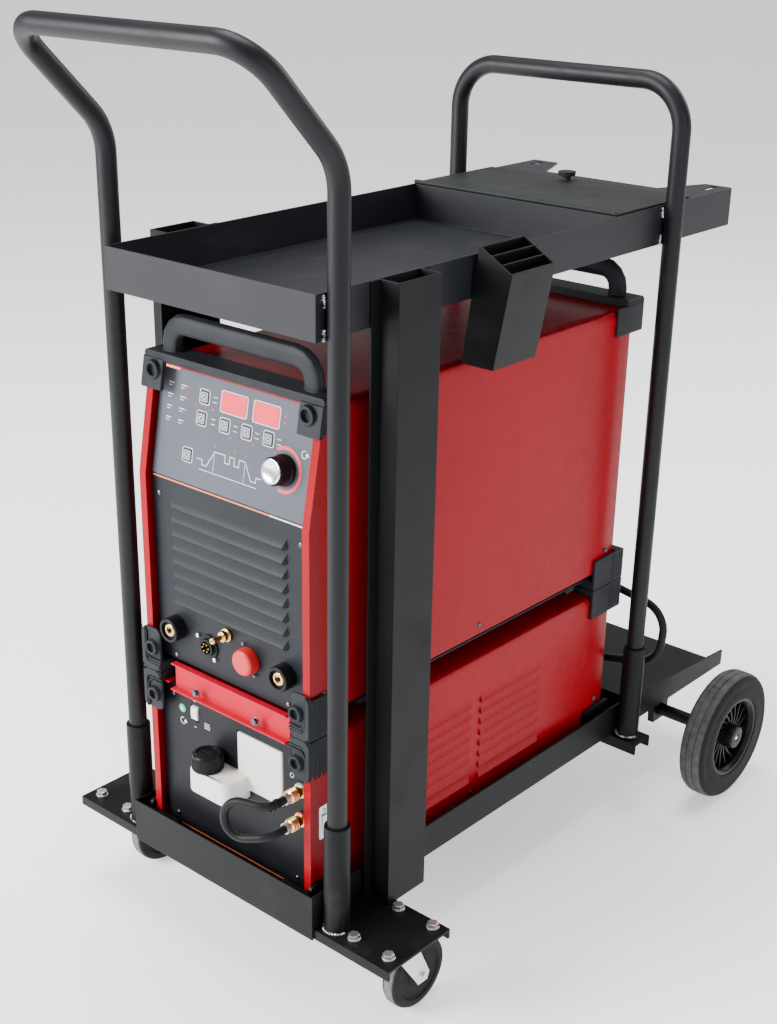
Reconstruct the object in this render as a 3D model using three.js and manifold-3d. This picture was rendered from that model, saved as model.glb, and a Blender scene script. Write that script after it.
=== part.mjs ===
// TIG welding set: an inverter machine standing on its cooler, on a four-wheel trolley with a tool tray.
// Millimetres, +Z up, the front faces -Y, the origin is on the floor under the middle of the bounding box.
// Each named mesh is one separate closed piece. Lengths along Y are first written from the tray's front edge.
import * as THREE from 'three';
import { mergeVertices } from 'three/addons/utils/BufferGeometryUtils.js';
import Module from 'manifold-3d';

const wasm = await Module();
wasm.setup();

// ---- driving dimensions -------------------------------------------------------------------------
const GAP = 0.3; // clearance between pieces that touch
const SHEET = 2.5; // tray and channel sheet
const PLATE = 4; // base plates and angles
const TUBE_D = 25; // handle tubes
const TUBE_WALL = 2;
const SLEEVE_D = 33; // sockets the handle tubes stand in
const SLEEVE_H = 155;
const TRAY_W = 342;
const TRAY_L = 850;
const TRAY_Z = 882; // underside of the tray
const TRAY_H = 52;
const BULKHEAD_Y = 565; // wall between the open tray and the closed compartment
const COMPARTMENT_L = 182;
const LID_T = 2.5;
const FRONT_POLE_Y = 22;
const REAR_POLE_Y = 678;
const FRONT_BEND_Z = 1065; // the front handle bends forward here
const GRIP_RISE = 123;
const GRIP_REACH = 122;
const REAR_HANDLE_Z = 1090;
const CASTER_D = 100;
const CASTER_W = 24;
const CASTER_H = 126; // floor to the underside of the front plate
const CASTER_X = 243;
const CASTER_Y = 62;
const CASTER_TRAIL = 40;
const WHEEL_D = 205;
const WHEEL_W = 43;
const WHEEL_X = 267.5; // middle of the tread
const WHEEL_Y = 827;
const AXLE_D = 20;
const FRONT_PLATE_W = 580;
const FRONT_PLATE_L = 118;
const FRAME_H = 48; // side angles
const PLATFORM_L = 282;
const PLATFORM_SLOPE = 0.0765;
const ROD_CHANNEL_W = 72;
const ROD_CHANNEL_D = 31;
const ROD_CHANNEL_Y = 98;
const MACHINE_W = 292;
const MACHINE_Y = 15; // front edge of the covers
const MACHINE_L = 647;
const MACHINE_Z = 411; // lower edge of the welder's cover
const MACHINE_TOP = 796;
const BREAK_Z = 655; // the control face leans back above this height
const LEAN = 0.18;
const COVER_T = 2;
const STRIP_W = 12; // front edge of a cover beside its panel
const RECESS = 11; // front panels sit this far behind the covers' front edges
const COOLER_Z = 145;
const COOLER_TOP = 374;
const SHOULDER = 12;
const KNOB_D = 38;
const KEY = 13;
const KEY_T = 2.6;
const KEY_SUNK = 1.6; // how deep a key sits below the face at rest
const KEY_TRAVEL = 0.5;
const DINSE_D = 33;
const HOSE_D = 11;
const LEAD_D = 12;
const SPOKES = 8;
const SPOKE_T = 8;
const SIDE_LOUVRES = 8;
const SIDE_LOUVRE_PITCH = 17;

// ---- derived values -----------------------------------------------------------------------------
const TUBE_R = TUBE_D / 2;
const SLEEVE_R = SLEEVE_D / 2;
const POLE_X = TRAY_W / 2 + TUBE_R + GAP;
const BASE_Z = CASTER_H + PLATE; // top of the front plate
const TRAY_TOP = TRAY_Z + TRAY_H;
const FRAME_X = POLE_X - SLEEVE_R - GAP;
const FRONT_PLATE_Y = FRONT_POLE_Y - SLEEVE_R - 7.5;
const LIP_Y = FRONT_PLATE_Y - GAP - 3;
const CROSS_Y = REAR_POLE_Y - 21;
const CROSS_L = 42;
const FRAME_END = REAR_POLE_Y + 2;
const PLATFORM_Y = REAR_POLE_Y + SLEEVE_R + 4.5;
const PLATFORM_Z = BASE_Z + FRAME_H;
const HALF = MACHINE_W / 2;
const MACHINE_END = MACHINE_Y + MACHINE_L;
const PANEL_Y = MACHINE_Y + RECESS;
const PANEL_HALF = HALF - STRIP_W - 0.6;
const WHEEL_R = WHEEL_D / 2;
const COOLER_FLOOR = BASE_Z + PLATE + GAP;
const FRONT_REACH = FRONT_POLE_Y - GRIP_REACH - TUBE_R;
const REAR_REACH = Math.max(PLATFORM_Y + PLATFORM_L, WHEEL_Y + WHEEL_R);
const MIDDLE_Y = (FRONT_REACH + REAR_REACH) / 2;
const lean = (z) => PANEL_Y + LEAN * Math.max(0, z - BREAK_Z);
const LEAN_ANGLE = Math.atan(LEAN);

// ---- shape helpers ------------------------------------------------------------------------------
function solid(geometry) {
  const bare = geometry.index ? geometry.toNonIndexed() : geometry.clone();
  const position = bare.getAttribute('position');
  // Coordinates go on a fine grid, so faces meant to lie in one plane really do.
  const { array } = position;
  for (let i = 0; i < array.length; i++) array[i] = Math.round(array[i] * 1024) / 1024;
  const only = new THREE.BufferGeometry().setAttribute('position', position);
  const merged = mergeVertices(only, 1e-4);
  const vertProperties = new Float32Array(merged.attributes.position.array);
  const triVerts = new Uint32Array(merged.index.array);
  return new wasm.Manifold(new wasm.Mesh({ numProp: 3, vertProperties, triVerts }));
}

function surface(body) {
  const mesh = body.getMesh();
  const geometry = new THREE.BufferGeometry();
  geometry.setAttribute('position', new THREE.BufferAttribute(new Float32Array(mesh.vertProperties), 3));
  geometry.setIndex(new THREE.BufferAttribute(new Uint32Array(mesh.triVerts), 1));
  geometry.computeVertexNormals();
  return geometry;
}

const join = (...bodies) => bodies.reduce((a, b) => a.add(b));
const cut = (body, ...tools) => tools.reduce((a, b) => a.subtract(b), body);

function block(x0, x1, y0, y1, z0, z1) {
  const geometry = new THREE.BoxGeometry(x1 - x0, y1 - y0, z1 - z0);
  geometry.translate((x0 + x1) / 2, (y0 + y1) / 2, (z0 + z1) / 2);
  return solid(geometry);
}

// A cylinder or cone frustum along X, Y or Z, from the given end point.
function rod(axis, x, y, z, length, r0, r1 = r0, segments = 24) {
  const geometry = new THREE.CylinderGeometry(r1, r0, length, segments);
  geometry.translate(0, length / 2, 0);
  if (axis === 'z') geometry.rotateX(Math.PI / 2);
  if (axis === 'x') geometry.rotateZ(-Math.PI / 2);
  geometry.translate(x, y, z);
  return solid(geometry);
}

// A flat outline given as [y, z] pairs, pulled along X.
function alongX(points, x0, x1) {
  const shape = new THREE.Shape(points.map(([y, z]) => new THREE.Vector2(y, z)));
  const geometry = new THREE.ExtrudeGeometry(shape, { depth: x1 - x0, bevelEnabled: false });
  geometry.rotateY(Math.PI / 2);
  geometry.rotateX(Math.PI / 2);
  geometry.translate(x0, 0, 0);
  return solid(geometry);
}

// A flat outline given as [x, z] pairs, pulled along Y.
function alongY(points, y0, y1) {
  const shape = new THREE.Shape(points.map(([x, z]) => new THREE.Vector2(x, z)));
  const geometry = new THREE.ExtrudeGeometry(shape, { depth: y1 - y0, bevelEnabled: false });
  geometry.rotateX(Math.PI / 2);
  geometry.translate(0, y1, 0);
  return solid(geometry);
}

// A flat outline given as [x, y] pairs, pulled along Z.
function alongZ(points, z0, z1) {
  const shape = new THREE.Shape(points.map(([x, y]) => new THREE.Vector2(x, y)));
  const geometry = new THREE.ExtrudeGeometry(shape, { depth: z1 - z0, bevelEnabled: false });
  geometry.translate(0, 0, z0);
  return solid(geometry);
}

// The outline of a rectangle with rounded corners.
function roundedRect(x0, x1, y0, y1, r, steps = 3) {
  const points = [];
  const corner = (cx, cy, from) => {
    for (let i = 0; i <= steps; i++) {
      const a = from + (i / steps) * (Math.PI / 2);
      points.push([cx + r * Math.cos(a), cy + r * Math.sin(a)]);
    }
  };
  corner(x1 - r, y1 - r, 0);
  corner(x0 + r, y1 - r, Math.PI / 2);
  corner(x0 + r, y0 + r, Math.PI);
  corner(x1 - r, y0 + r, 1.5 * Math.PI);
  return points;
}

// A run of straight lines joined by round bends; stations are only spent on the bends.
class BentRun extends THREE.Curve {
  constructor(corners, radius, steps = 6) {
    super();
    const c = corners.map((p) => new THREE.Vector3(...p));
    this.stations = [c[0]];
    for (let i = 1; i < c.length - 1; i++) {
      const u = c[i - 1].clone().sub(c[i]).normalize();
      const v = c[i + 1].clone().sub(c[i]).normalize();
      const half = Math.acos(THREE.MathUtils.clamp(u.dot(v), -1, 1)) / 2;
      const r = Array.isArray(radius) ? radius[i - 1] : radius;
      const centre = u.clone().add(v).normalize().multiplyScalar(r / Math.sin(half)).add(c[i]);
      const a = c[i].clone().addScaledVector(u, r / Math.tan(half)).sub(centre);
      const b = c[i].clone().addScaledVector(v, r / Math.tan(half)).sub(centre);
      const turn = new THREE.Vector3().crossVectors(a, b).normalize();
      const sweep = a.angleTo(b);
      for (let k = 0; k <= steps; k++) {
        this.stations.push(a.clone().applyAxisAngle(turn, (k / steps) * sweep).add(centre));
      }
    }
    this.stations.push(c[c.length - 1]);
  }
  get steps() {
    return this.stations.length - 1;
  }
  getPoint(t, target = new THREE.Vector3()) {
    return target.copy(this.stations[Math.round(t * this.steps)]);
  }
  getPointAt(t, target) {
    return this.getPoint(t, target);
  }
  getTangentAt(t, target = new THREE.Vector3()) {
    const i = Math.round(t * this.steps);
    const before = this.stations[Math.max(0, i - 1)];
    const after = this.stations[Math.min(this.steps, i + 1)];
    return target.copy(after).sub(before).normalize();
  }
}

function circle(r, segments = 12) {
  const points = [];
  for (let i = 0; i < segments; i++) {
    const a = ((i + 0.5) / segments) * 2 * Math.PI;
    points.push(new THREE.Vector2(r * Math.cos(a), r * Math.sin(a)));
  }
  return points;
}

function swept(outline, run, holeOutline) {
  const shape = new THREE.Shape(outline);
  if (holeOutline) shape.holes.push(new THREE.Path([...holeOutline].reverse()));
  return solid(new THREE.ExtrudeGeometry(shape, { steps: run.steps, extrudePath: run, curveSegments: 1 }));
}

function lathed(points, segments = 32) {
  return solid(new THREE.LatheGeometry(points.map(([r, h]) => new THREE.Vector2(r, h)), segments));
}

// ---- scene graph --------------------------------------------------------------------------------
const group = new THREE.Group();
const shop = new THREE.Group(); // lengths from the tray's front edge, moved so the origin is central
shop.position.set(0, -MIDDLE_Y, 0);
group.add(shop);
const trolley = new THREE.Group();
const welder = new THREE.Group();
const cooler = new THREE.Group();
shop.add(trolley, welder, cooler);

function put(parent, name, body, color, roughness, metalness, position = [0, 0, 0]) {
  const material = new THREE.MeshStandardMaterial({ color, roughness, metalness });
  const mesh = new THREE.Mesh(surface(body), material);
  mesh.name = name;
  mesh.position.set(...position);
  parent.add(mesh);
  return mesh;
}
const FRAME_PAINT = [0x141518, 0.45, 0.3];
const MOULDING = [0x2b2d30, 0.65, 0];
const RED = [0xa81420, 0.3, 0.1];
const BRASS = [0xc9a14a, 0.3, 0.9];
const RUBBER = [0x1b1b1b, 0.85, 0];
const ZINC = [0xb9bcc0, 0.35, 0.9];

// ---- trolley base -------------------------------------------------------------------------------
const plateEnd = FRONT_PLATE_Y + FRONT_PLATE_L;
const sleeve = (x, y) => rod('z', x, y, CASTER_H, SLEEVE_H, SLEEVE_R, SLEEVE_R, 16);
const sleeveBore = (x, y) => rod('z', x, y, BASE_Z + 3, SLEEVE_H, TUBE_R + GAP, TUBE_R + GAP, 16);
const halfPlate = FRONT_PLATE_W / 2;
put(trolley, 'front_caster_plate', cut(
  join(
    block(-halfPlate, halfPlate, FRONT_PLATE_Y, plateEnd, CASTER_H, BASE_Z),
    block(-halfPlate, halfPlate, FRONT_PLATE_Y, FRONT_PLATE_Y + PLATE, BASE_Z - 14, BASE_Z),
    block(-halfPlate, halfPlate, plateEnd - PLATE, plateEnd, BASE_Z - 14, BASE_Z),
    sleeve(-POLE_X, FRONT_POLE_Y),
    sleeve(POLE_X, FRONT_POLE_Y),
  ),
  sleeveBore(-POLE_X, FRONT_POLE_Y),
  sleeveBore(POLE_X, FRONT_POLE_Y),
), ...FRAME_PAINT);

const frameZ = BASE_Z + GAP;
const legX = FRAME_X - 50;
put(trolley, 'base_frame', cut(
  block(-FRAME_X, FRAME_X, LIP_Y, FRAME_END, BASE_Z - 15, BASE_Z + FRAME_H),
  block(-FRAME_X - 5, FRAME_X + 5, LIP_Y + 3, FRAME_END + 5, BASE_Z - 20, frameZ),
  block(-FRAME_X + PLATE, FRAME_X - PLATE, LIP_Y + 3, FRAME_END + 5, BASE_Z + PLATE, BASE_Z + FRAME_H + 5),
  block(-legX, legX, LIP_Y + 3, FRAME_END + 5, BASE_Z - 25, BASE_Z + FRAME_H + 5),
), ...FRAME_PAINT);

const crossHalf = POLE_X + SLEEVE_R + 11;
const crossEnd = CROSS_Y + CROSS_L;
put(trolley, 'rear_cross_channel', cut(
  join(
    block(-crossHalf, crossHalf, CROSS_Y, crossEnd, CASTER_H, BASE_Z),
    block(-crossHalf, crossHalf, CROSS_Y, CROSS_Y + PLATE, BASE_Z - 18, BASE_Z),
    block(-crossHalf, crossHalf, crossEnd - PLATE, crossEnd, BASE_Z - 18, BASE_Z),
    sleeve(-POLE_X, REAR_POLE_Y),
    sleeve(POLE_X, REAR_POLE_Y),
  ),
  sleeveBore(-POLE_X, REAR_POLE_Y),
  sleeveBore(POLE_X, REAR_POLE_Y),
), ...FRAME_PAINT);

// The platform slopes down to the rear between two side flanges; two lugs below hold the axle.
const trayHalf = TRAY_W / 2;
const platEnd = PLATFORM_Y + PLATFORM_L;
const floorEnd = platEnd - 45;
const fall = (y) => PLATFORM_Z - PLATFORM_SLOPE * (y - PLATFORM_Y);
const platFloor = (t0, t1, y0, y1) => [
  [y0, fall(y0) + t0], [y1, fall(y1) + t0], [y1, fall(y1) + t1], [y0, fall(y0) + t1],
];
const flange = [
  [PLATFORM_Y, BASE_Z + 2], [platEnd, BASE_Z + 2], [platEnd, fall(platEnd) + 2], [
    PLATFORM_Y, fall(PLATFORM_Y) + 2,
  ],
];
const lug = (x) => alongX([
  [WHEEL_Y - 28, fall(WHEEL_Y - 28) - 2], [WHEEL_Y - 20, WHEEL_R - 18], [WHEEL_Y + 20, WHEEL_R - 18],
  [WHEEL_Y + 28, fall(WHEEL_Y + 28) - 2],
], x - 5, x + 5);
put(trolley, 'bottle_platform', cut(
  join(
    alongX(platFloor(-3, 0, PLATFORM_Y, floorEnd), -trayHalf, trayHalf),
    alongX(flange, -trayHalf, -trayHalf + 3),
    alongX(flange, trayHalf - 3, trayHalf),
    block(-trayHalf, trayHalf, PLATFORM_Y, PLATFORM_Y + 3, frameZ, fall(PLATFORM_Y) - 0.5),
    block(-140, 140, FRAME_END + 1, PLATFORM_Y + 1, frameZ, frameZ + 3),
    lug(-148),
    lug(148),
  ),
  rod('x', -170, WHEEL_Y, WHEEL_R, 340, AXLE_D / 2 + GAP, AXLE_D / 2 + GAP, 24),
), ...FRAME_PAINT);

const axleHalf = WHEEL_X + WHEEL_W / 2 - 1;
put(
  trolley, 'axle', rod('x', -axleHalf, 0, 0, 2 * axleHalf, AXLE_D / 2, AXLE_D / 2, 24), ...FRAME_PAINT,
  [0, WHEEL_Y, WHEEL_R],
);

// ---- rear wheels --------------------------------------------------------------------------------
const RIM_R = 64;
const wheelHalf = WHEEL_W / 2;
function tyreBody() {
  const r = WHEEL_R;
  const inner = RIM_R + GAP;
  const body = lathed([
    [inner, -wheelHalf + 2], [r - 9, -wheelHalf], [r, -wheelHalf + 8], [r, -7], [r - 2.2, -5.5], [r, -4],
    [r, 4], [r - 2.2, 5.5], [r, 7], [r, wheelHalf - 8], [r - 9, wheelHalf], [inner, wheelHalf - 2],
    [inner, -wheelHalf + 2],
  ], 32);
  return body;
}
function rimBody() {
  const bore = AXLE_D / 2 + GAP;
  const whole = lathed([
    [bore, -wheelHalf], [18, -wheelHalf], [20, -6], [52, -6], [56, -17], [RIM_R, -17], [RIM_R, 17],
    [56, 17], [52, 6], [20, 6], [18, wheelHalf + 3], [0, wheelHalf + 3], [0, wheelHalf],
    [bore, wheelHalf], [bore, -wheelHalf],
  ], 24);
  // Windows between the spokes, each as wide as leaves a spoke of even thickness on both sides.
  const windows = [];
  for (let i = 0; i < SPOKES; i++) {
    const middle = ((i + 0.5) / SPOKES) * 2 * Math.PI;
    const at = (r, side) => {
      const a = middle + side * (Math.PI / SPOKES - Math.asin(SPOKE_T / 2 / r));
      return [r * Math.cos(a), r * Math.sin(a)];
    };
    windows.push(alongY([at(25, -1), at(25, 1), at(47, 1), at(49, 0), at(47, -1)], -8, 8));
  }
  return cut(whole, ...windows);
}
for (const side of [-1, 1]) {
  const word = side < 0 ? 'left' : 'right';
  const wheel = new THREE.Group();
  wheel.position.set(side * WHEEL_X, WHEEL_Y, WHEEL_R);
  wheel.rotation.z = -side * (Math.PI / 2);
  trolley.add(wheel);
  put(wheel, `rear_tyre_${word}`, tyreBody(), ...RUBBER);
  put(wheel, `rear_rim_${word}`, rimBody(), 0x222326, 0.6, 0);
}

// ---- casters ------------------------------------------------------------------------------------
const casterR = CASTER_D / 2;
const forkGap = CASTER_W / 2 + 2;
const crownZ = BASE_Z - 21;
for (const side of [-1, 1]) {
  const word = side < 0 ? 'left' : 'right';
  const caster = new THREE.Group();
  caster.position.set(side * CASTER_X, CASTER_Y, 0);
  trolley.add(caster);
  put(caster, `caster_mount_${word}`, join(
    block(-37, 37, -49, 49, CASTER_H - GAP - 3, CASTER_H - GAP),
    rod('z', 0, 0, crownZ + 7 + GAP, CASTER_H - crownZ - 9, 24, 24, 24),
  ), ...ZINC);
  const leg = (x) => alongX([
    [-18, crownZ + 3], [CASTER_TRAIL - 13, casterR - 4], [CASTER_TRAIL - 9, casterR - 11],
    [CASTER_TRAIL + 9, casterR - 11], [CASTER_TRAIL + 13, casterR], [24, crownZ + 3],
  ], x, x + 3);
  put(caster, `caster_fork_${word}`, join(
    rod('z', 0, 0, crownZ, 7, 28, 28, 24),
    leg(-forkGap - 3),
    leg(forkGap),
    rod('x', -forkGap - 7, CASTER_TRAIL, casterR, 2 * forkGap + 14, 5, 5, 12),
  ), ...ZINC);
  const wheel = new THREE.Group();
  wheel.position.set(0, CASTER_TRAIL, casterR);
  wheel.rotation.z = -Math.PI / 2;
  caster.add(wheel);
  const w = CASTER_W / 2;
  put(wheel, `caster_wheel_${word}`, lathed([
    [5 + GAP, -w], [
      casterR - 4, -w,
    ], [casterR, -w + 5], [casterR, w - 5], [casterR - 4, w], [5 + GAP, w], [5 + GAP, -w],
  ], 32), ...RUBBER);
}

// ---- handle tubes -------------------------------------------------------------------------------
const tubeFoot = BASE_Z + 3 + GAP;
const gripY = FRONT_POLE_Y - GRIP_REACH;
const gripZ = FRONT_BEND_Z + GRIP_RISE;
put(trolley, 'front_handle', swept(circle(TUBE_R), new BentRun([
  [-POLE_X, FRONT_POLE_Y, tubeFoot], [-POLE_X, FRONT_POLE_Y, FRONT_BEND_Z], [-POLE_X, gripY, gripZ],
  [POLE_X, gripY, gripZ], [POLE_X, FRONT_POLE_Y, FRONT_BEND_Z], [POLE_X, FRONT_POLE_Y, tubeFoot],
], [70, 48, 48, 70], 4), circle(TUBE_R - TUBE_WALL)), ...FRAME_PAINT);
put(trolley, 'rear_handle', swept(circle(TUBE_R), new BentRun([
  [-POLE_X, REAR_POLE_Y, tubeFoot], [
    -POLE_X, REAR_POLE_Y, REAR_HANDLE_Z,
  ], [POLE_X, REAR_POLE_Y, REAR_HANDLE_Z],
  [POLE_X, REAR_POLE_Y, tubeFoot],
], 62, 6), circle(TUBE_R - TUBE_WALL)), ...FRAME_PAINT);

// ---- tool tray, lid, rod channels, electrode box ------------------------------------------------
const rearWallY = BULKHEAD_Y + COMPARTMENT_L;
const earInner = 128;
const slotX = trayHalf - 22;
const trayIn = trayHalf - SHEET;
put(trolley, 'tool_tray', cut(
  block(-trayHalf, trayHalf, 0, TRAY_L, TRAY_Z, TRAY_TOP),
  block(-trayIn, trayIn, SHEET, BULKHEAD_Y - SHEET, TRAY_Z + SHEET, TRAY_TOP + 5),
  block(-trayIn, trayIn, BULKHEAD_Y, rearWallY - SHEET, TRAY_Z + SHEET, TRAY_TOP + 5),
  block(-trayIn, trayIn, rearWallY, TRAY_L + 5, TRAY_Z - 5, TRAY_TOP - 3),
  alongZ([
    [-earInner, TRAY_L + 1], [-96, TRAY_L - 75], [96, TRAY_L - 75], [earInner, TRAY_L + 1],
  ], TRAY_TOP - 5, TRAY_TOP + 1),
  alongZ(roundedRect(-slotX - 5, -slotX + 5, TRAY_L - 42, TRAY_L - 8, 4), TRAY_TOP - 5, TRAY_TOP + 1),
  alongZ(roundedRect(slotX - 5, slotX + 5, TRAY_L - 42, TRAY_L - 8, 4), TRAY_TOP - 5, TRAY_TOP + 1),
), ...FRAME_PAINT);

const hingeY = BULKHEAD_Y - 3;
const lidHalf = trayHalf - 3;
const lidL = rearWallY - hingeY - 9;
put(trolley, 'tray_lid', join(
  rod('x', -lidHalf, 0, 0, 2 * lidHalf, 3, 3, 12),
  block(-lidHalf, lidHalf, 0, lidL, -3, -3 + LID_T),
  rod('z', -20, lidL - 18, -2, 9, 6, 6, 16),
  rod('z', -20, lidL - 18, 6.5, 6, 12, 13, 20),
), ...FRAME_PAINT, [0, hingeY, TRAY_TOP + GAP + 3]);

const chanX0 = trayHalf + GAP;
const chanX1 = trayHalf + ROD_CHANNEL_D;
const chanEnd = ROD_CHANNEL_Y + ROD_CHANNEL_W;
const chanZ0 = BASE_Z + GAP;
function rodChannel() {
  return cut(
    block(chanX0, chanX1, ROD_CHANNEL_Y - 13, chanEnd + 13, chanZ0, TRAY_TOP),
    block(chanX0 + SHEET, chanX1 + 5, ROD_CHANNEL_Y - 20, ROD_CHANNEL_Y, chanZ0 - 5, TRAY_TOP + 5),
    block(chanX0 + SHEET, chanX1 + 5, chanEnd, chanEnd + 20, chanZ0 - 5, TRAY_TOP + 5),
    block(chanX0 - 5, chanX1 - SHEET, ROD_CHANNEL_Y + SHEET, chanEnd - SHEET, chanZ0 + 3, TRAY_TOP + 5),
  );
}
put(trolley, 'rod_channel_right', rodChannel(), ...FRAME_PAINT);
put(trolley, 'rod_channel_left', rodChannel(), ...FRAME_PAINT).scale.x = -1;

const boxY = 261;
const boxEnd = 345;
const boxInner = (z) => trayHalf + 1.2 + (z - TRAY_Z) * 0.145;
const boxOuter = (z) => trayHalf + 52 + (z - TRAY_Z) * 0.185;
const boxFloor = TRAY_Z - 79;
const slice = (t0, t1, top) => {
  const at = (t, z) => boxInner(z) + 2 + t * (boxOuter(z) - boxInner(z) - 4);
  const low = boxFloor + 3;
  return alongY([
    [at(t0, low) + 0.8, low], [at(t1, low) - 0.8, low], [at(t1, top) - 0.8, top], [at(t0, top) + 0.8, top],
  ], boxY + 2, boxEnd - 2);
};
put(trolley, 'electrode_box', cut(
  alongY([
    [boxInner(boxFloor), boxFloor], [boxOuter(boxFloor), boxFloor], [boxOuter(TRAY_TOP - 15), TRAY_TOP - 15],
    [boxInner(TRAY_TOP + 12), TRAY_TOP + 12],
  ], boxY, boxEnd),
  slice(0, 1 / 3, TRAY_TOP + 40),
  slice(1 / 3, 2 / 3, TRAY_TOP + 40),
  slice(2 / 3, 1, TRAY_TOP + 40),
), ...FRAME_PAINT);

// ---- welder -------------------------------------------------------------------------------------
// Side outline of the machine's front: upright, then leaning back above the break.
const front = (z, y0 = MACHINE_Y) => y0 + LEAN * Math.max(0, z - BREAK_Z);
const sideShape = (y0, y1, z0, z1, inset = 0) => {
  const points = [[front(z0, y0) + inset, z0], [y1, z0], [y1, z1], [front(z1, y0) + inset, z1]];
  if (z0 < BREAK_Z && z1 > BREAK_Z) points.push([y0 + inset, BREAK_Z]);
  return points;
};
const hood = (half, z0, z1, r) => [[-half, z0], [half, z0], [half, z1 - r], [
  half - r * 0.3, z1 - r * 0.3,
], [half - r, z1], [-half + r, z1],
  [-half + r * 0.3, z1 - r * 0.3], [-half, z1 - r]];
const taper = (side) => alongZ(side > 0
  ? [
    [HALF, MACHINE_END - 42], [HALF + 1, MACHINE_END - 42], [HALF + 1, MACHINE_END + 1],
    [HALF - 5, MACHINE_END + 1],
  ]
  : [
    [-HALF, MACHINE_END - 42], [-HALF + 5, MACHINE_END + 1], [-HALF - 1, MACHINE_END + 1],
    [-HALF - 1, MACHINE_END - 42],
  ],
0, MACHINE_TOP + 5);
// A thin-walled hood: open below and behind, with a window in front between two edge strips.
function coverBody(z0, z1, windowTop) {
  const outer = alongX(sideShape(MACHINE_Y, MACHINE_END, z0, z1), -HALF, HALF)
    .intersect(alongY(hood(HALF, z0 - 1, z1, SHOULDER), MACHINE_Y - 5, MACHINE_END + 5));
  const hollow = alongX(sideShape(MACHINE_Y, MACHINE_END + 2, z0 - 5, z1, COVER_T), -HALF, HALF)
    .intersect(alongY(
      hood(HALF - COVER_T, z0 - 6, z1 - COVER_T, SHOULDER - 1), MACHINE_Y - 5, MACHINE_END + 5,
    ));
  const rear = [[
    -HALF + 5 + COVER_T, MACHINE_END + 2,
  ], [-HALF + COVER_T, MACHINE_END - 42], [HALF - COVER_T, MACHINE_END - 42],
    [HALF - 5 - COVER_T, MACHINE_END + 2]];
  const core = hollow.intersect(join(
    block(-HALF, HALF, MACHINE_Y - 5, MACHINE_END - 42, z0 - 6, z1),
    alongZ(rear.reverse(), z0 - 6, z1),
  ));
  const window = block(-HALF + STRIP_W, HALF - STRIP_W, MACHINE_Y - 5, MACHINE_Y + 60, z0 - 5, windowTop);
  return cut(outer, core, window, taper(-1), taper(1));
}
put(welder, 'welder_cover', coverBody(MACHINE_Z, MACHINE_TOP, MACHINE_TOP - COVER_T - 0.5), ...RED);

// Chassis: floor and rear wall in one folded sheet, with a round fan opening and four feet bars.
const chassisZ = MACHINE_Z - 11;
const rearHalf = HALF - COVER_T - 6;
const fanZ = 560;
put(welder, 'welder_chassis', cut(
  join(
    block(-rearHalf, rearHalf, PANEL_Y + 6, MACHINE_END - 3, chassisZ, chassisZ + 3),
    block(-rearHalf, rearHalf, MACHINE_END - 6, MACHINE_END - 3, chassisZ, MACHINE_TOP - SHOULDER - 1),
    block(-rearHalf, rearHalf, PANEL_Y + 80, PANEL_Y + 100, chassisZ - 6, chassisZ + 1),
    block(-rearHalf, rearHalf, MACHINE_END - 110, MACHINE_END - 90, chassisZ - 6, chassisZ + 1),
  ),
  cut(
    rod('y', 0, MACHINE_END - 10, fanZ, 12, 62, 62, 32),
    rod('y', 0, MACHINE_END - 11, fanZ, 14, 20, 20, 20),
    block(-64, 64, MACHINE_END - 11, MACHINE_END + 3, fanZ - 2.5, fanZ + 2.5),
    block(-2.5, 2.5, MACHINE_END - 11, MACHINE_END + 3, fanZ - 64, fanZ + 64),
  ),
  rod('y', 92, MACHINE_END - 8, 690, 10, 4 + GAP, 4 + GAP, 16),
), 0x1c1d20, 0.6, 0.2);

// Front panel: upright louvred part and leaning control face.
const panelT = 3.5;
const panelLow = chassisZ + 6;
const panelTop = MACHINE_TOP - COVER_T - GAP - 1;
const panelSide = [
  [PANEL_Y, panelLow], [PANEL_Y + panelT, panelLow], [PANEL_Y + panelT, BREAK_Z], [
    lean(panelTop) + panelT, panelTop,
  ],
  [lean(panelTop), panelTop], [PANEL_Y, BREAK_Z],
];
const LOUVRES = 8;
const LOUVRE_PITCH = 18.6;
const LOUVRE_Z = 486;
const louvreHalf = 101;
const ribs = [];
const slots = [];
for (let i = 0; i < LOUVRES; i++) {
  const z = LOUVRE_Z + i * LOUVRE_PITCH;
  ribs.push(alongX([
    [PANEL_Y + 0.5, z + 16], [PANEL_Y - 5.5, z + 4], [PANEL_Y - 5.5, z + 1.5], [PANEL_Y + 0.5, z + 1.5],
  ], -louvreHalf, louvreHalf));
  slots.push(alongX([
    [PANEL_Y + panelT + 1, z + 12], [PANEL_Y - 0.5, z + 10.5], [PANEL_Y - 4, z + 3.5], [PANEL_Y - 4, z],
    [PANEL_Y - 0.8, z], [PANEL_Y + panelT + 1, z + 5],
  ], -louvreHalf + 7, louvreHalf - 7));
}
// The louvres are drawn out of the sheet, so their ends run in towards the front.
const drawn = alongZ([
  [-louvreHalf, PANEL_Y + 1], [louvreHalf, PANEL_Y + 1], [louvreHalf - 5, PANEL_Y - 6], [
    -louvreHalf + 5, PANEL_Y - 6,
  ],
], LOUVRE_Z - 5, LOUVRE_Z + LOUVRES * LOUVRE_PITCH + 5);
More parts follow.
